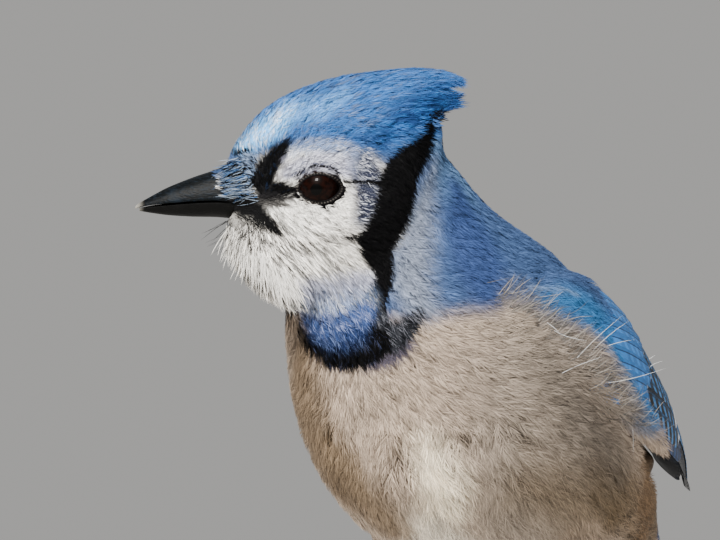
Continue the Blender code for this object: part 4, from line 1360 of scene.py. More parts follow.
class Eyes:
    """Dark eyes with their lids."""

    opening = (3.9, 2.75)
    sink = 0.0
    pupil = 1.25
    columns = 120
    beyond = 5.3

    def ball(self, side: int, name: str) -> bpy.types.Object:
        """The eyeball, with how far each point is from the middle of the gaze written on it."""
        bpy.ops.object.select_all(action="DESELECT")
        bpy.ops.mesh.primitive_uv_sphere_add(segments=64, ring_count=40, radius=1.0)
        obj = bpy.context.view_layer.objects.active
        obj.name = obj.data.name = f"eyeball_{name}"
        flat = np.empty(len(obj.data.vertices) * 3)
        obj.data.vertices.foreach_get("co", flat)
        p = flat.reshape(-1, 3)
        local = np.column_stack([p[:, 0], p[:, 2] * side, p[:, 1] * side]) * EYE_RADIUS
        gaze = np.hypot(local[:, 0] - 0.7, local[:, 2] + 0.3)
        gaze = np.where(p[:, 2] > 0, gaze, 9.0)
        moved(obj, STANCE.from_head(local + EYE_AT * np.array([1, side, 1])))
        write_colors(obj.data, "gaze", np.column_stack([gaze / 10] * 3))
        outward(obj)
        return obj

    def iris(self) -> bpy.types.Material:
        """Wet brown iris round a black pupil, darker at its rim."""
        nodes = Nodes("eye_wet")
        _, gaze, *_ = nodes.attribute("gaze")
        reach = gaze * 10.0
        rays = nodes.noise(1400.0, 4.0)
        brown = nodes.mix(rays.steps(0.35, 0.65), tone(6, 2, 1), tone(17, 5, 3))
        rim = nodes.mix(reach.steps(3.6, 5.2), brown, tone(5, 3, 3))
        color = nodes.mix(1.0 - reach.steps(self.pupil - 0.08, self.pupil + 0.1), rim, (0.0006, 0.0006, 0.0006))
        return nodes.finish(color, 0.4, Coat_Weight=0.3, Coat_Roughness=0.03, Coat_IOR=1.16, Specular_IOR_Level=0.02)

    def head_side(self, form: Surface, x: Array, z: Array, side: int) -> Array:
        """How far out the head's surface is beside the eye; the socket's hollow is passed over."""
        reach = np.hypot(x, z)
        levels = []
        for ring_reach in (self.beyond, self.beyond + 1.2):
            far = np.maximum(reach, ring_reach) / np.maximum(reach, 1e-6)
            start = EYE_AT * np.array([1, side, 1]) + np.column_stack([x * far, np.full(len(x), 30.0 * side), z * far])
            way = (-side * STANCE.aside).tolist()
            hits = [form.tree.ray_cast(place, way)[0] for place in STANCE.from_head(start).tolist()]
            spots = np.array([tuple(hit) if hit is not None else tuple(HEAD_AT) for hit in hits])
            levels.append(STANCE.to_head(spots)[:, 1] * side - EYE_AT[1])
        inside = np.clip((self.beyond - reach) / 1.2, 0.0, 1.6)
        return levels[0] + (levels[0] - levels[1]) * inside * 0.6

    def lids(self, side: int, name: str, form: Surface) -> bpy.types.Object:
        """A ring of folds from the almond opening out to under the feathers."""
        angle = np.linspace(0, 2 * np.pi, self.columns, endpoint=False)
        c, s = np.cos(angle), np.sin(angle)
        corner = 1.0 + 0.10 * np.abs(c) ** 6
        profile = (
            (-0.30, -0.30), (-0.05, -0.05), (0.0, 0.12), (0.10, 0.24), (0.24, 0.28), (0.36, 0.20), (0.46, 0.10),
            (0.56, 0.10), (0.68, 0.16), (0.80, 0.10), (0.95, -0.05), (1.20, -0.25), (1.60, -0.55), (2.2, -1.1),
        )
        rows, colors = [], []
        centre = EYE_AT * np.array([1, side, 1])
        beads = np.maximum(np.sin(angle * 40), 0.0)
        for gap, height in profile:
            x = (self.opening[0] + 0.75 * gap) * c * corner
            z = (self.opening[1] + 0.75 * gap) * s - self.sink
            reach = np.hypot(x, z)
            ball = np.sqrt(EYE_RADIUS**2 - np.minimum(reach, 4.3) ** 2) - np.maximum(reach - 4.3, 0.0) * 1.6
            share = smoothstep(0.05, 1.0, gap)
            deep = smooth_between(ball, self.head_side(form, x, z, side), share) + height
            deep = np.maximum(deep, ball + min(height, 0.12) - 0.6 * max(gap - 0.7, 0.0))
            beaded = 0.4 < gap < 0.85
            rows.append(np.column_stack([x, (deep + 0.05 * beads * beaded) * side, z]) + centre)
            pale = np.where(beaded & (beads > 0.5), 1.0, 0.0)[:, None]
            colors.append(tone(6, 5, 6) * (1 - pale) + tone(74, 70, 66) * pale)
        mesh = bpy.data.meshes.new("lids")
        faces = grid_faces(len(rows), self.columns, True)
        places = STANCE.to_world(STANCE.from_head(np.array(rows).reshape(-1, 3)))
        mesh.from_pydata(places.tolist(), [], faces)
        write_colors(mesh, "pigment", np.vstack(colors))
        obj = put(mesh, f"eyelids_{name}")
        if side < 0:
            obj.data.flip_normals()
        apply(obj, "SUBSURF", levels=1, render_levels=1)
        only(obj)
        bpy.ops.object.shade_smooth()
        return obj

    def build(self, form: Surface) -> list[bpy.types.Object]:
        """Makes both eyes and their lids."""
        iris = self.iris()
        rim = SkinFinish("eyelid_skin", 0.0).material()
        pieces = []
        for side, name in ((1, "left"), (-1, "right")):
            ball = self.ball(side, name)
            ball.data.materials.append(iris)
            lids = self.lids(side, name, form)
            lids.data.materials.append(rim)
            pieces += [settle(ball, "eye", f"eye_{name}"), settle(lids, "head_plumage")]
        return pieces


@dataclass(frozen=True)
class Toe:
    """One toe: its turn from straight ahead in degrees, length, thickness and claw length."""

    turn: float
    length: float
    radius: float
    claw: float


class Legs:
    """Scaly shanks and feet, with claws of their own."""

    ankle = np.array([-14.5, 17.5, 34.0])
    knee = np.array([-11.1, 17.5, 38.4])
    foot = np.array([0.0, 17.0, 1.15])
    splay = 8.0
    toes = (Toe(-24, 15.5, 1.45, 7), Toe(0, 21, 1.55, 7.5), Toe(24, 16.5, 1.4, 6.5), Toe(180, 13, 1.6, 9))

    def shank(self, side: int, name: str) -> bpy.types.Object:
        """The shank, with broad scales down its front."""
        spots = np.vstack([self.foot + (self.ankle - self.foot) * t for t in (0, 0.1, 0.3, 0.8, 1)] + [self.knee])
        table = np.column_stack([spots, (1.9, 1.75, 1.35, 1.35, 1.95, 1.5)])
        fine = refined(table, 22)
        run = np.concatenate([[0], np.cumsum(np.linalg.norm(np.diff(fine[:, :3], axis=0), axis=1))])
        even = np.linspace(0, run[-1], 120)
        fine = np.column_stack([np.interp(even, run, fine[:, i]) for i in range(4)])
        angle = np.linspace(0, 2 * np.pi, 24, endpoint=False)
        front = np.clip(-np.sin(angle), 0, 1) ** 0.7
        step = np.abs(np.sin(np.pi * even / 2.6)) ** 0.35 - 0.8
        radii = fine[:, 3:] * (1 + 0.07 * step[:, None] * front + 0.02 * np.sin(even * 5)[:, None] * (1 - front))
        line = fine[:, :3] * np.array([1, side, 1])
        return tube(f"shank_scales_{name}", line, radii, 24, np.array([0.0, 1.0, 0.0]))

    def toe_line(self, toe: Toe, side: int, rows: Sequence[tuple[float, float]]) -> Array:
        """Points over a toe's run, from distance along it and height."""
        turn = math.radians(self.splay + toe.turn)
        rows = np.array(rows)
        way = np.array([math.cos(turn), math.sin(turn) * side, 0.0])
        root = self.foot * np.array([1, side, 0])
        return root + rows[:, :1] * way + rows[:, 1:] * STANCE.up

    def build(self) -> list[bpy.types.Object]:
        """Makes both legs."""
        scales = HornFinish("leg_scales", (16, 16, 18), (52, 52, 56), 0.5, 1500.0).material()
        horn = HornFinish("claw_horn", (8, 8, 9), (30, 30, 32), 0.3, 1500.0).material()
        pieces = []
        for side, name in ((1, "left"), (-1, "right")):
            shank = self.shank(side, name)
            shank.data.materials.append(scales)
            pieces.append(settle(shank, "leg_scales", f"shank_{name}"))
            toes, claws = [], []
            for number, toe in enumerate(self.toes):
                length, radius, claw = toe.length, toe.radius, toe.claw
                along = np.linspace(-0.9 * radius, length + 0.12 * claw, 64)
                pads = 1 + 0.10 * np.cos(2 * np.pi * (along / length * 3.0 - 0.1))
                rings = 1 - 0.07 * np.abs(np.sin(np.pi * along / 1.25)) ** 6
                taper = np.interp(along, (-0.9 * radius, 0.4 * length, length, length + 0.12 * claw), (0.95, 1.0, 0.88, 0.5))
                ends = np.sqrt(np.clip((along + 0.95 * radius) / (0.9 * radius), 0.05, 1))
                angle = np.linspace(0, 2 * np.pi, 16, endpoint=False)
                top = np.clip(np.sin(angle) * np.sign(math.cos(math.radians(toe.turn))) * side, 0, 1)
                shape = radius * (taper * ends)[:, None] * (1 + (rings - 1)[:, None] * top + (pads - 1)[:, None] * (1 - top))
                line = self.toe_line(toe, side, np.column_stack([along, np.full(64, 1.2)]).tolist())
                turn = math.radians(self.splay + toe.turn)
                across = np.array([-math.sin(turn), math.cos(turn) * side, 0.0])
                toes.append(tube(f"toe_{name}_{number}", line, shape, 16, across))
                rows = refined((
                    (length - 0.6, 1.25, 0.80 * radius), (length + 0.22 * claw, 2.0, 0.64 * radius),
                    (length + 0.55 * claw, 2.2, 0.48 * radius), (length + 0.85 * claw, 1.4, 0.28 * radius),
                    (length + claw, 0.35, 0.06),
                ), 6)
                line = self.toe_line(toe, side, rows[:, :2].tolist())
                claws.append(tube(f"claw_{name}_{number}", line, rows[:, 2], 14, across))
            for parts, label, finish, nodes in (
                (toes, "foot_scales", scales, (f"foot_{name}",)), (claws, "claws", horn, ()),
            ):
                only(*parts)
                bpy.ops.object.join()
                whole = bpy.context.view_layer.objects.active
                whole.name = whole.data.name = f"{label}_{name}"
                whole.data.materials.append(finish)
                pieces.append(settle(whole, "leg_scales", *nodes))
        return pieces


@dataclass(frozen=True)
class Quill:
    """One vane: its root and tip on its bed, its size, how it lies and how it is marked."""

    root: tuple[float, float]
    tip: tuple[float, float]
    half: float
    lift: float
    color: tuple[float, float, float]
    bars: float = 1.0
    pitch: float = 3.4
    white: float = 0.0
    dusk: float = 0.95
    reach: float = 40.0
    bow: float = 0.0


class Bed:
    """A form that vanes lie on, with places given by the body frame's forwards and a distance across."""

    def place(self, fwd: Array, across: Array) -> tuple[Array, Array]:
        """Places on the bed and the ways out of it."""
        raise NotImplementedError


class WingBed(Bed):
    """Outer side of the folded left wing; across is measured up its blade."""

    stations = np.array((
        (31, 17, 96.5, 8, 3, 2), (26, 22.2, 97.5, 10, 8, 4.4), (16, 27.6, 97.5, 14, 12.6, 5.6),
        (2, 30.6, 94.5, 20, 15.6, 6), (-15, 30.4, 87.8, 27, 17, 5.6), (-32, 27.2, 80.6, 34, 16, 4.8),
        (-48, 22.4, 74.6, 40, 12.6, 3.5), (-62, 17.8, 70.2, 44, 8.8, 2.4), (-75, 13.8, 66.8, 46, 5.8, 1.6),
        (-86, 11, 64.2, 46, 3.8, 1.1), (-91, 10, 63, 46, 2, 0.7), (-100, 8.2, 60.8, 46, 2, 0.7),
    ))

    def __init__(self) -> None:
        """Makes the stations finer."""
        fine = refined(self.stations, 8)[::-1]
        self.fwd = fine[:, 0]
        ways = unit(np.gradient(fine[:, :3], axis=0))
        lean = np.radians(fine[:, 3])
        upward = np.column_stack([np.zeros(len(lean)), -np.sin(lean), np.cos(lean)])
        upward = unit(upward - dot(upward, ways) * ways)
        outs = np.cross(upward, ways)
        outs *= np.sign(outs[:, 1:2])
        self.rows = np.column_stack([fine[:, :3], upward, outs, fine[:, 4:6]])

    def place(self, fwd: Array, across: Array) -> tuple[Array, Array]:
        """Places on the wing's outer side and the ways out of it."""
        row = np.stack([np.interp(fwd, self.fwd, self.rows[:, i]) for i in range(self.rows.shape[1])], -1)
        middle, upward, outs = row[..., :3], row[..., 3:6], row[..., 6:9]
        high, thick = row[..., 9:10], row[..., 10:11]
        share = np.clip(across[..., None] / high, -1, 1)
        bulge = np.sqrt(1 - 0.92 * share**2)
        places = middle + upward * across[..., None] + outs * thick * (bulge - 0.28 * share**2)
        return places, unit(outs * bulge + upward * share * thick / high)


class TailBed(Bed):
    """Upper side of the tail; across is measured to the left."""

    line = np.array(((-62, 54), (-80, 47.5), (-105, 37.8), (-135, 26.2), (-162, 15.8), (-176, 10.4), (-186, 6.6)))[::-1]

    def place(self, fwd: Array, across: Array) -> tuple[Array, Array]:
        """Places on the tail and the ways out of it."""
        up = np.interp(fwd, self.line[:, 0], self.line[:, 1])
        places = np.stack([fwd, across, up - 0.004 * across**2 + 0.6], -1)
        outs = unit(np.stack([np.full_like(fwd, -0.36), 0.008 * across, np.ones_like(fwd)], -1))
        return places, outs


class Vanes:
    """Stiff feathers as thin closed sheets that overlap like shingles."""

    rows = 20
    columns = 9
    thickness = 0.14

    def __init__(self, name: str, bed: Bed, seed: int) -> None:
        """Starts a set.

        Args:
            name: name of the piece.
            bed: what the vanes lie on.
            seed: seed of the random numbers.
        """
        self.name = name
        self.bed = bed
        self.rng = np.random.default_rng(seed)

    def sheet(self, quill: Quill, out_edge: float) -> tuple[Array, Array, Array, Array]:
        """One vane.

        Args:
            quill: the feather.
            out_edge: which side its outer web is on, 1 or -1 across.

        Returns:
            Vertices of its upper and under sheet, its pigment, fibre and vane values.
        """
        rng = self.rng
        t = 1 - np.linspace(1, 0, self.rows) ** 1.5
        a = np.linspace(-1, 1, self.columns)
        length = math.hypot(quill.tip[0] - quill.root[0], quill.tip[1] - quill.root[1])
        blunt = 1 - 1.25 * quill.half / length
        rise = np.clip(0.45 + t / 0.5, 0, 1)
        width = quill.half * rise * np.sqrt(np.clip(1 - np.clip((t - blunt) / (1 - blunt), 0, 0.995) ** 2.2, 0, 1))
        fwd = quill.root[0] + (quill.tip[0] - quill.root[0]) * t
        middle = quill.root[1] + (quill.tip[1] - quill.root[1]) * t + quill.bow * np.sin(np.pi * t)
        middle = middle + rng.normal(0, 0.12) * t
        ragged = 1 + rng.normal(0, 0.012, (self.rows, 1)) * (np.abs(a) > 0.9)
        across = middle[:, None] + a * width[:, None] * ragged
        swept = fwd[:, None] - 0.28 * np.abs(a) * width[:, None] * (1 - smoothstep(blunt - 0.2, 1.0, t[:, None]))
        places, outs = self.bed.place(swept, across)
        lift = quill.lift * (0.3 + 0.7 * t) - 0.7 * (1 - t) ** 2 + rng.normal(0, 0.03)
        cup = 0.10 * quill.half * a**2 * (0.4 + 0.6 * t[:, None])
        top = places + outs * (lift[:, None] - cup + 0.05 * (np.abs(a) < 0.1))[..., None]
        under = top - outs * self.thickness
        tip = np.broadcast_to(((1 - t) * length)[:, None], across.shape)
        web = smoothstep(-0.05, 0.15, -a * out_edge)
        color = tone(*quill.color) * rng.uniform(0.88, 1.12)
        pigment = np.broadcast_to(color, (*across.shape, 3))
        seed = np.full(across.shape, rng.random())
        edge = np.broadcast_to((a + 1) / 2, across.shape)
        fibre = np.stack([tip / 200, edge, seed, np.full(across.shape, quill.bars)], -1)
        reach = 1.0 - smoothstep(quill.reach, quill.reach * 1.3, tip)
        dusk = np.broadcast_to(quill.dusk * web, across.shape)
        vane = np.stack([np.full(across.shape, quill.white / 20), dusk, reach * (1 - 0.85 * web),
                         np.full(across.shape, 1 / quill.pitch)], -1)
        dull = tone(50, 52, 58)
        below = pigment * 0.25 + dull * 0.55
        values = [np.concatenate([x.reshape(-1, x.shape[-1]), y.reshape(-1, y.shape[-1])]) for x, y in (
            (top, under), (pigment, below), (fibre, fibre * np.array([1, 1, 1, 0.35])), (vane, vane),
        )]
        return tuple(values)

    def build(self, quills: Sequence[tuple[Quill, float]], mirror: bool) -> bpy.types.Object:
        """Makes one piece of many vanes.

        Args:
            quills: the feathers, each with the side of its outer web.
            mirror: whether the piece is flipped to the bird's right.

        Returns:
            The piece.
        """
        sheets = [self.sheet(*quill) for quill in quills]
        places, pigment, fibre, vane = (np.stack([sheet[i] for sheet in sheets]) for i in range(4))
        if mirror:
            places = places * np.array([1, -1, 1])
        rows, columns = self.rows, self.columns
        shift = rows * columns
        top = grid_faces(rows, columns, False)
        under = [tuple(shift + i for i in reversed(face)) for face in top]
        first, last = list(range(columns)), list(range((rows - 1) * columns, rows * columns))
        left = [r * columns for r in range(rows)]
        right = [r * columns + columns - 1 for r in range(rows)]
        loop = first + right[1:] + last[-2::-1] + left[-2:0:-1]
        rim = [(b, a, shift + a, shift + b) for a, b in zip(loop, loop[1:] + loop[:1])]
        faces = top + under + rim
        cells = math.ceil(math.sqrt(len(sheets)))
        u, v = np.meshgrid(np.linspace(0.03, 0.47, columns), np.linspace(0.03, 0.97, rows))
        local = np.stack([u, v], -1).reshape(-1, 2)
        local = np.concatenate([local, local + np.array([0.5, 0])])
        cell = np.array([(i % cells, i // cells) for i in range(len(sheets))])
        patch = (cell[:, None] + local[None]) / cells
        pile = Pile(self.name)
        pile.add(places, np.array([i for face in faces for i in face]), np.full(len(faces), 4), pigment, fibre, patch)
        obj = pile.build(True)
        write_colors(obj.data, "vane", vane.reshape(-1, 4))
        outward(obj)
        return obj


class Wings:
    """Folded wings: a dark base, partly painted shade under and between the vanes, and rows of vanes over it."""

    blue = (48, 114, 184)
    bright = (50, 112, 170)
    deep = (32, 64, 112)
    dark = (13, 19, 31)

    def quills(self) -> list[tuple[Quill, float]]:
        """The left wing's feathers; the outer webs lie towards the lower edge."""
        quills = []
        for k in range(8):
            quills.append(Quill((-22, -13.4 + 1.2 * k), (-79 - 0.8 * k, -3.0 + 0.8 * k), 4.4, 0.6 + 0.09 * k,
                                self.dark, bars=0.15, pitch=3.8, dusk=0.9))
        for k in range(7):
            tip = -73 + 1.6 * k + 1.4 * math.sin(2.1 * k)
            quills.append(Quill((-18, -8 + 2.4 * k), (tip, -2.5 + 1.6 * k), 4.3, 1.4 + 0.08 * k,
                                self.bright, pitch=3.3 + 0.1 * (k % 3), white=3.0 + 1.1 * (k % 2), reach=34))
        for k in range(4):
            quills.append(Quill((-12, 8.5 + 1.5 * k), (-67 + 9 * k, 7.0 + 1.7 * k), 5.4, 2.0 + 0.1 * k,
                                self.blue, pitch=3.6, white=1.6 - 0.5 * k, dusk=0.35, reach=45))
        for k in range(2):
            quills.append(Quill((7 - 2 * k, -11.5 - k), (-13 - 2 * k, -14.2 - 0.5 * k), 2.0, 0.3 + 0.05 * k,
                                self.deep, bars=0.7, pitch=2.4))
        for k in range(5):
            quills.append(Quill((-6, -15.5 + 0.8 * k), (-33 + k, -14.3 + 1.1 * k), 1.9, 0.25 + 0.04 * k,
                                self.deep, bars=0.6, pitch=2.4))
        for k in range(9):
            tip = -30 + 0.5 * k + 1.3 * math.sin(2.3 * k)
            quills.append(Quill((-3 - 0.4 * k, -12.5 + 2.9 * k), (tip, -12 + 2.75 * k), 3.1,
                                0.6 + 0.05 * k, self.bright, pitch=2.6 + 0.15 * (k % 3), white=1.6 + 0.5 * (k % 3),
                                reach=17))
        for k in range(10):
            quills.append(Quill((9 - 0.3 * k, -12 + 2.6 * k), (-10 + 1.2 * math.sin(1.9 * k), -12 + 2.65 * k), 3.0,
                                1.0 + 0.02 * k, self.blue, bars=0.35, pitch=2.5, white=0.3, dusk=0.3, reach=9))
        return [(quill, -1.0) for quill in quills]

    def build(self) -> list[bpy.types.Object]:
        """Makes both wings."""
        finish = VaneFinish("wing_vanes").material()
        # The base's near black is partly the dusky wing and partly painted shade between and under the vanes.
        base_finish = HornFinish("wing_base", (8, 9, 12), (16, 24, 38), 0.7, 500.0).material()
        pieces = []
        for side, name in ((1, "left"), (-1, "right")):
            nodes = (f"wing_{name}", f"flight_feathers_{name}")
            base = joined_nodes(f"wing_base_{name}", nodes, 0.0, 0.9, 4)
            form = Surface(base)
            places = form.places - form.outs * np.minimum(0.9, 0.3 * form.thickness())[:, None]
            past = np.minimum(places[:, :1] + 76.0, 0.0)
            moved(base, places - past * np.array([0.7, 0.0, 0.28]))
            base.data.materials.append(base_finish)
            only(base)
            bpy.ops.object.shade_smooth()
            pieces.append(settle(base, "wing_feathers", *nodes))
            vanes = Vanes(f"wing_vanes_{name}", WingBed(), 11).build(self.quills(), side < 0)
            vanes.data.materials.append(finish)
            pieces.append(settle(vanes, "wing_feathers"))
        return pieces


class Tail:
    """Twelve tail feathers, the middle pair on top."""

    blue = (58, 116, 190)

    def build(self) -> bpy.types.Object:
        """Makes the tail."""
        quills = []
        for k in range(5, -1, -1):
            for side in (-1, 1):
                tip = (-185.5 + 3.4 * k, side * (3.2 + 1.85 * k))
                quills.append((Quill((-64 - k, side * (1.0 + 0.5 * k)), tip, 6.4 - 0.3 * k, 0.9 - 0.3 * k + 0.05 * side,
                                     self.blue, pitch=4.4, white=(0, 6, 8, 11, 14, 17)[k], reach=75,
                                     dusk=0.0 if k == 0 else 0.6), side))
        obj = Vanes("tail_vanes", TailBed(), 5).build(quills, False)
        obj.data.materials.append(VaneFinish("tail_vanes").material())
        return settle(obj, "tail_feathers", "tail")


class Studio:
    """Plain floor, soft light and the camera."""

    floor_radius = 3.0

    def build(self) -> None:
        """Makes the floor, the lights, the world and the camera."""
        bpy.ops.object.select_all(action="DESELECT")
        bpy.ops.mesh.primitive_circle_add(vertices=96, radius=self.floor_radius, fill_type="NGON")
        floor = bpy.context.view_layer.objects.active
        floor.name = "studio_floor"
        nodes = Nodes("floor_pale")
        floor.data.materials.append(nodes.finish((0.74, 0.73, 0.71), 0.8))
        middle = STANCE.to_world(np.array([0.0, 0.0, 85.0]))
        right, near = self.way(STANCE.view_right), self.way(STANCE.to_camera)
        up = np.array([0.0, 0.0, 1.0])
        self.lamp("key_light", middle, near * 0.68 - right * 0.24 + up * 0.70, 1.5, 0.32, 74.0, (1.0, 0.97, 0.92))
        self.lamp("fill_light", middle, near * 0.7 + right * 0.9 + up * 0.1, 1.8, 1.4, 6.0, (0.92, 0.96, 1.0))
        self.lamp("back_light", middle, near * -0.9 - right * 0.1 + up * 0.9, 1.8, 1.2, 8.0, (1.0, 1.0, 1.0))
        world = bpy.data.worlds.new("pale_room")
        world.use_nodes = True
        back = world.node_tree.nodes["Background"]
        back.inputs[0].default_value = (0.80, 0.79, 0.77, 1.0)
        back.inputs[1].default_value = 0.5
        bpy.context.scene.world = world
        self.camera()

    def way(self, body_way: Array) -> Array:
        """World direction of a body-frame direction."""
        return np.array([body_way[1], -body_way[0], body_way[2]])

    def lamp(self, name: str, middle: Array, way: Array, gap: float, size: float, watts: float, color: tuple) -> None:
        """A square soft light that faces the bird."""
        data = bpy.data.lights.new(name, "AREA")
        data.size = size
        data.energy = watts
        data.color = color
        lamp = bpy.data.objects.new(name, data)
        bpy.context.scene.collection.objects.link(lamp)
        lamp.location = middle + way / np.linalg.norm(way) * gap
        lamp.rotation_euler = (Vector(middle) - lamp.location).to_track_quat("-Z", "Y").to_euler()

    def camera(self) -> None:
        """The camera, level with the bird's neck and a few steps away."""
        data = bpy.data.cameras.new("camera")
        data.lens = 36.0 * VIEW_FROM / VIEW_WIDTH
        data.clip_end = 50.0
        camera = bpy.data.objects.new("camera", data)
        bpy.context.scene.collection.objects.link(camera)
        aim = STANCE.view_right * -VIEW_ASIDE + STANCE.up * VIEW_HEIGHT
        camera.location = STANCE.to_world(aim + STANCE.to_camera * VIEW_FROM)
        camera.rotation_euler = Vector(-self.way(STANCE.to_camera)).to_track_quat("-Z", "Y").to_euler()
        bpy.context.scene.camera = camera


class Plumage:
    """The body coat, cut into pieces that a person would name."""

    names = ("face", "throat", "crown", "neck", "back", "breast_left", "breast_right", "belly_left", "belly_right",
             "flank_left", "flank_right", "rump")

    def region(self, places: Array) -> Array:
        """Number of the piece that each root belongs to."""
        head = STANCE.to_head(places)
        fwd, left, up = places.T
        inside = (np.abs(head[:, 1]) < 18) & (head[:, 2] > -24) & (head[:, 0] > -26)
        right = left < 0
        which = np.full(len(places), 4)
        low = up < np.interp(fwd, [row[0] for row in BACK_LINE], [row[1] for row in BACK_LINE])
        which[low] = 9 + right[low]
        front = low & (fwd > 18)
        which[front] = 5 + right[front]
        under = (up < 52) & (fwd <= 30)
        which[under] = 7 + right[under]
        which[(~low) & (fwd < -45)] = 11
        which[(up > 99) & (fwd > -2)] = 3
        which[inside] = 0
        which[inside & (head[:, 2] < -7)] = 1
        which[inside & (head[:, 2] > 7)] = 2
        return which

    def build(self, coat: Coat, skin_outer: Surface, bare: Surface, wing: Surface) -> list[bpy.types.Object]:
        """Grows the coat.

        Args:
            coat: makes the feathers.
            skin_outer: form of the flesh before it is inset.
            bare: bill, eyes, tail, flight feathers and shanks, where nothing grows.
            wing: the parts under the wing coverts.

        Returns:
            The pieces.
        """
        lie = coat.lie
        form = coat.form
        roots = form.scatter(coat.rng, lambda p: 0.56 + 0.120 * lie.at(p)[1][:, 0], coat.tries)
        head = STANCE.to_head(roots)
        x, z = head[:, 0] - EYE_AT[0], head[:, 2] - EYE_AT[2]
        eye = (x / 4.4) ** 2 + (z / 3.25) ** 2 < 1
        eye &= np.abs(head[:, 1]) > 6
        gape = (head[:, 0] > 18.5) & (head[:, 2] < -2.3) & (head[:, 2] > -5.3 - 1.6 * smoothstep(21, 25, head[:, 0]))
        crest_end = (head[:, 0] < -13) & (head[:, 2] > 14.2) & (np.abs(head[:, 1]) < 14)
        keep = ~eye & ~gape & ~crest_end & (bare.distances(roots) > np.where(roots[:, 0] < -40, 1.7, 0.6)) & (roots[:, 2] > 33)
        line = np.array(BACK_LINE)
        above = roots[:, 2] > np.interp(roots[:, 0], line[:, 0], line[:, 1])
        on_wing = wing.distances(roots) < 0.8
        below = roots[:, 2] < WingBed().place(roots[:, 0], np.full(len(roots), -2.0))[0][:, 2]
        scapular = above & ~below & (skin_outer.distances(roots) < 2.6) & (roots[:, 0] > -46)
        keep &= ~(on_wing & (above | (roots[:, 0] < -13)) & (roots[:, 0] < 4) & ~scapular)
        outer = (roots[:, 0] < -32) & (roots[:, 2] > 57) & (below | ~above)
        keep &= ~(outer & (bare.distances(roots) < 4.2))
        keep &= ~((wing.distances(roots) < 3.5) & (roots[:, 0] < -22) & (below | ~above))
        keep &= ~((wing.distances(roots) < 2.4) & (roots[:, 0] < -16) & below)
        roots = roots[keep]
        log.info("%d feather roots", len(roots))
        feathers = coat.feathers(roots)
        which = self.region(roots)
        pieces = []
        for number, name in enumerate(self.names):
            mine = feathers.part(which == number)
            pile = Pile(f"coat_{name}")
            shortest = 0.0
            for weave in WEAVES:
                picked = (mine.sizes[:, 0] >= shortest) & (mine.sizes[:, 0] < weave.longest)
                if picked.any():
                    coat.tufts(pile, mine.part(picked), weave)
                shortest = weave.longest
            if not pile.total:
                continue
            log.info("coat_%s: %d feathers, %d triangles", name, len(mine.paths), pile.triangles)
            obj = pile.build()
            head_piece = name in ("face", "throat", "crown")
            obj.data.materials.append(PlumageFinish(f"plumage_{name}").material())
            pieces.append(settle(obj, "head_plumage" if head_piece else "body_plumage"))
        return pieces


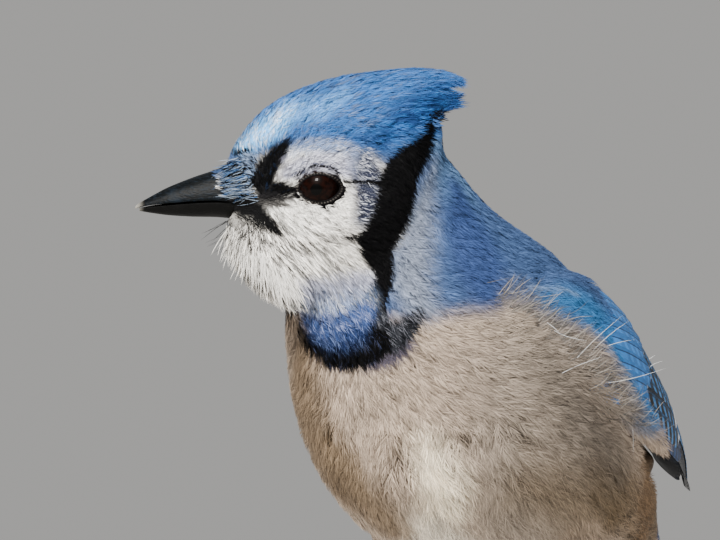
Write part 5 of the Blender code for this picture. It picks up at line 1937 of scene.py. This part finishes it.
class Crest:
    """Long crown feathers that end in two ragged tips."""

    weave = Weave(99.0, 42, 3, 0.15, 0.26)
    steps = 10

    def build(self, coat: Coat) -> bpy.types.Object:
        """Grows the crest.

        Args:
            coat: makes the feathers.

        Returns:
            The piece.
        """
        rng = coat.rng
        roots = coat.form.scatter(rng, lambda p: np.full(len(p), 1.45), 60000)
        head = STANCE.to_head(roots)
        fwd, side, up = head.T
        low = np.interp(fwd, (-17, -12, -4, 4, 8), (13, 11.5, 12.5, 15, 18))
        keep = (fwd > -16) & (fwd < 7) & (up > low) & (np.abs(side) < 13)
        roots, head = roots[keep], head[keep]
        spots, outs, _ = coat.form.nearest(roots)
        ways, _ = coat.lie.at(roots)
        ways = unit(ways - dot(ways, outs) * outs)
        count = len(roots)
        high = np.clip((head[:, 2] - low[keep]) / (25.5 - low[keep]), 0, 1)
        short = rng.random(count) ** 2.2
        tip_up = np.select(
            [high > 0.45, high > 0.16], [21.9 + 3.2 * (high - 0.45), 17.9 + 10.0 * (high - 0.16)], 15.2 + 9.0 * high
        ) + rng.normal(0, 0.22, count)
        tip_fwd = np.where(high > 0.16, -25.0 + 9.0 * short, -20.5 + 5.0 * short) + rng.normal(0, 0.3, count)
        tip_side = head[:, 1] * np.interp(tip_fwd, (-26, -18), (0.10, 0.42)) + rng.normal(0, 0.25, count)
        tips = np.column_stack([tip_fwd, tip_side, tip_up])
        run = np.linalg.norm(tips - head, axis=1, keepdims=True)
        to_head = np.column_stack([ways @ STANCE.onward, ways @ STANCE.aside, ways[:, 2]])
        droop = np.select([high > 0.45, high > 0.16], [-0.30, -0.10], -0.35)
        end_way = unit(np.column_stack([-np.ones(count), -0.05 * np.sign(tip_side), droop]))
        knots = [head, head + to_head * run * 0.38, tips - end_way * run * 0.36, tips]
        t = np.linspace(0, 1, self.steps)[None, :, None]
        p = [knot[:, None] for knot in knots]
        curve = p[0] * (1 - t) ** 3 + 3 * p[1] * t * (1 - t) ** 2 + 3 * p[2] * t**2 * (1 - t) + p[3] * t**3
        paths = STANCE.from_head(curve)
        flat = paths.reshape(-1, 3)
        near, near_outs, _ = coat.form.nearest(flat)
        clear = 0.10 - 0.60 * np.broadcast_to(smoothstep(0.25, 0.8, t), (count, self.steps, 1)).reshape(-1, 1)
        inside = dot(flat - near, near_outs) < clear
        flat = np.where(inside, near + near_outs * clear, flat)
        paths = flat.reshape(paths.shape)
        sideways = np.sign(head[:, 1:2])
        tip_out = unit(np.column_stack([np.zeros(count), sideways[:, 0], 0.9 * (high - 0.3)]))
        tip_out = tip_out[:, 1:2] * STANCE.aside + tip_out[:, 2:] * STANCE.up
        outs_line = unit(near_outs.reshape(paths.shape) * (1 - t) + (tip_out[:, None] * 1.2) * t)
        paths = paths + outs_line * (0.25 * t * (1 - t))
        ones = np.ones(count)
        sizes = np.column_stack([run[:, 0], 1.05 * rng.uniform(0.8, 1.2, count), 0.0 * ones, 0.46 * ones])
        feathers = Feathers(paths, outs_line, sizes, 1.3 * ones, coat.flesh_map(roots))
        pile = Pile("crest_feathers")
        coat.tufts(pile, feathers, self.weave)
        log.info("crest: %d feathers, %d triangles", count, pile.triangles)
        obj = pile.build()
        obj.data.materials.append(PlumageFinish("plumage_crest").material())
        return settle(obj, "head_plumage")


class Bristles:
    """Single fine feathers: bristles over the bill, chin hairs and stray filaments."""

    points = 6
    strays = (
        (575, 357, 614, 311), (587, 355, 622, 317), (604, 382, 664, 362), (648, 360, 657, 354), (650, 367, 664, 360),
        (560, 372, 600, 352), (598, 350, 634, 338), (631, 425, 633, 458), (552, 330, 583, 342), (545, 322, 556, 334),
        (293, 416, 287, 434), (296, 428, 290, 446), (292, 408, 288, 420), (298, 440, 293, 452),
    )

    def __init__(self, coat: Coat, seed: int) -> None:
        """Keeps the coat, whose form they start from."""
        self.coat = coat
        self.rng = np.random.default_rng(seed)

    def strands(self, pile: Pile, rows: Array, lift: float, thick: float, colors: Array, both: bool) -> None:
        """Adds strands.

        Args:
            pile: where they are gathered.
            rows: picture places of their starts and ends.
            lift: how far they stand off, as a share of their length.
            thick: width at the root.
            colors: linear colours.
            both: whether the head's other side gets them too.
        """
        rng = self.rng
        spots, outs, kept = self.coat.form.seen(rows.tolist())
        rows, colors = rows[kept], colors[kept]
        run = (rows[:, 2:4] - rows[:, :2]) / UNITS_PER_MM
        flat = run[:, :1] * STANCE.view_right - run[:, 1:] * STANCE.up
        long = np.linalg.norm(flat, axis=1, keepdims=True)
        t = np.linspace(0, 1, self.points)[None, :, None]
        near_way = flat - dot(flat, outs) / np.maximum(dot(outs, STANCE.to_camera), 0.35) * STANCE.to_camera
        start_way = unit(near_way) * long
        ends = spots + 0.5 * flat + 0.5 * start_way + outs * lift * long
        bend = rng.normal(0, 0.10, (len(spots), 1)) * long * unit(np.cross(flat, STANCE.to_camera))
        line = spots[:, None] * (1 - t) ** 2 + 2 * t * (1 - t) * (spots + 0.5 * start_way + bend)[:, None] + ends[:, None] * t**2
        near, near_outs, _ = self.coat.form.nearest(line.reshape(-1, 3))
        inside = dot(line.reshape(-1, 3) - near, near_outs) < 0.12
        line = np.where(inside, near + near_outs * 0.12, line.reshape(-1, 3)).reshape(line.shape)
        sets = [line]
        if both:
            head = STANCE.to_head(line) * np.array([1, -1, 1])
            sets.append(STANCE.from_head(head))
        for places in sets:
            facing = np.broadcast_to(STANCE.to_camera, places.shape)
            if places is not line:
                facing = np.broadcast_to(STANCE.from_head(np.array([[0.0, -1.0, 0.0]])) - HEAD_AT, places.shape)
            width = np.broadcast_to(thick * (1 - 0.7 * t[..., 0]), places.shape[:2])
            shape, corners, counts = blades(places, facing, width)
            verts = shape.shape[1]
            pigment = np.repeat(colors[:, None], verts, 1)
            fibre = np.ones((len(places), verts, 4)) * np.array([1.0, 0.5, 0.5, 0.5])
            local = np.linspace(-0.5, 0.5, verts)[None, :, None] * np.array([1.0, 0.2])
            patch = self.coat.flesh_map(places[:, 0])[:, None] + PATCH * local
            pile.add(shape, corners, counts, pigment, fibre, patch)

    def build(self) -> bpy.types.Object:
        """Makes the piece."""
        rng = self.rng
        pile = Pile("fine_bristles")
        # Painted highlights: the pale and blue strands over the bill stand for glints on black bristles.
        pale, dark = tone(138, 152, 170), tone(5, 5, 6)
        at = rng.uniform(0, 1, 460)
        start = np.column_stack([239 + 22 * at - 7 * np.abs(rng.normal(0, 1, 460)), 157 + 44 * at + rng.normal(0, 3, 460)])
        start = start[start[:, 0] > 241 - (start[:, 1] - 152) * 0.22]
        long = rng.uniform(14, 27, len(start))
        down = (74 + 0.62 * start[:, 1] - start[:, 1]) * rng.uniform(0.5, 1.2, len(start)) + rng.normal(1.5, 3.6, len(start))
        rows = np.column_stack([start, start[:, 0] - long, start[:, 1] + down])
        is_dark = rng.random(len(rows)) < 0.66
        is_blue_highlight = rng.random(len(rows)) < 0.4
        pale = np.where(is_blue_highlight[:, None], tone(70, 112, 166), pale)
        self.strands(pile, rows, 0.06, 0.09, np.where(is_dark[:, None], dark, pale), True)
        start = np.column_stack([rng.uniform(224, 266, 70), rng.uniform(217, 236, 70)])
        angle = np.radians(rng.uniform(80, 150, 70))
        long = rng.uniform(14, 38, 70)
        rows = np.column_stack([start, start[:, 0] + np.cos(angle) * long, start[:, 1] + np.sin(angle) * long])
        self.strands(pile, rows, 0.3, 0.08, np.repeat(dark[None], 70, 0), True)
        start = np.column_stack([rng.uniform(256, 290, 26), rng.uniform(196, 206, 26)])
        angle = np.radians(rng.uniform(165, 205, 26))
        long = rng.uniform(20, 42, 26)
        rows = np.column_stack([start, start[:, 0] + np.cos(angle) * long, start[:, 1] + np.sin(angle) * long])
        self.strands(pile, rows, 0.1, 0.09, np.repeat(dark[None], 26, 0), True)
        start = np.column_stack([rng.uniform(236, 272, 90), rng.normal(0, 2.6, 90)])
        start[:, 1] += 213 + 0.30 * (start[:, 0] - 236)
        long = rng.uniform(8, 22, 90)
        angle = np.radians(rng.normal(34, 12, 90))
        rows = np.column_stack([start, start[:, 0] + np.cos(angle) * long, start[:, 1] + np.sin(angle) * long])
        self.strands(pile, rows, 0.16, 0.13, np.repeat(dark[None], 90, 0), True)
        start = np.column_stack([rng.uniform(228, 292, 210), rng.uniform(0, 1, 210)])
        start[:, 1] = 229 + (start[:, 0] - 228) * 0.82 + start[:, 1] * 14 - 6
        long = rng.uniform(18, 38, 210)
        angle = np.radians(np.interp(start[:, 0], (228, 260, 292), (96, 78, 60)) + rng.normal(0, 8, 210))
        rows = np.column_stack([start, start[:, 0] + np.cos(angle) * long, start[:, 1] + np.sin(angle) * long])
        self.strands(pile, rows, 0.16, 0.21, np.repeat(tone(202, 200, 196)[None], 210, 0), True)
        for count, box, end, color in (
            (26, (428, 438, 112, 120), (12, 2.5), tone(3, 3, 4)), (16, (430, 438, 118, 126), (9, 3), tone(60, 96, 150)),
        ):
            start = np.column_stack([rng.uniform(*box[:2], count), rng.uniform(*box[2:], count)])
            reach = np.column_stack([rng.uniform(0.5, 1.2, count) * end[0], rng.normal(end[1], 1.5, count)])
            self.strands(pile, np.column_stack([start, start + reach]), 0.1, 0.2, np.repeat(color[None], count, 0), True)
        edge = np.array([(500, 298), (524, 308), (556, 330), (590, 372), (622, 410), (642, 440)], float)
        start = np.empty((240, 2))
        at = rng.uniform(0, len(edge) - 1, 240)
        for axis in (0, 1):
            start[:, axis] = np.interp(at, np.arange(len(edge)), edge[:, axis]) + rng.normal(0, 7, 240)
        angle = np.radians(rng.normal(-34, 16, 240))
        long = rng.uniform(14, 34, 240)
        rows = np.column_stack([start, start[:, 0] + np.cos(angle) * long, start[:, 1] + np.sin(angle) * long])
        fringe = np.where(rng.random((240, 1)) < 0.6, tone(82, 80, 78), tone(134, 128, 121))
        self.strands(pile, rows, 0.05, 0.13, fringe, False)
        strays = np.array(self.strays, float)
        self.strands(pile, strays, 0.25, 0.10, np.repeat(tone(196, 198, 200)[None], len(strays), 0), False)
        obj = pile.build()
        obj.data.materials.append(PlumageFinish("plumage_bristles").material())
        return settle(obj, "head_plumage")


def main() -> None:
    """Builds the bird's looks piece by piece."""
    logging.basicConfig(level=logging.INFO, format="%(relativeCreated)d %(message)s", stream=sys.stdout)
    skin = Skin()
    log.info("skin melted")
    form_nodes = (*FLESH, *WINGS, "tail", "bill_upper", "bill_lower", "eye_left", "eye_right")
    form_obj = joined_nodes("form", form_nodes, 0.3, 0.9, 5)
    form = Surface(form_obj)
    bpy.data.objects.remove(form_obj)
    bare_names = ("bill_upper", "bill_lower", "tail", "shank_left", "shank_right", *WINGS[2:])
    bare_obj = joined_nodes("bare", bare_names, 0.0, 0.9, 0)
    bare = Surface(bare_obj)
    bpy.data.objects.remove(bare_obj)
    wing_obj = joined_nodes("wings", WINGS[:2], 0.0, 0.9, 0)
    wing = Surface(wing_obj)
    bpy.data.objects.remove(wing_obj)
    log.info("forms ready")
    markings = Markings(form)
    lie = Lie(form)
    flesh = skin.build(lie, bare)
    skin.dress(markings)
    settle(skin.obj, "body_plumage", *FLESH)
    Bill().build()
    Eyes().build(skin.outer)
    Legs().build()
    Wings().build()
    Tail().build()
    coat = Coat(form, flesh, lie, markings, 7)
    Plumage().build(coat, skin.outer, bare, wing)
    Crest().build(coat)
    Bristles(coat, 3).build()
    Studio().build()


if __name__ == "__main__":
    main()
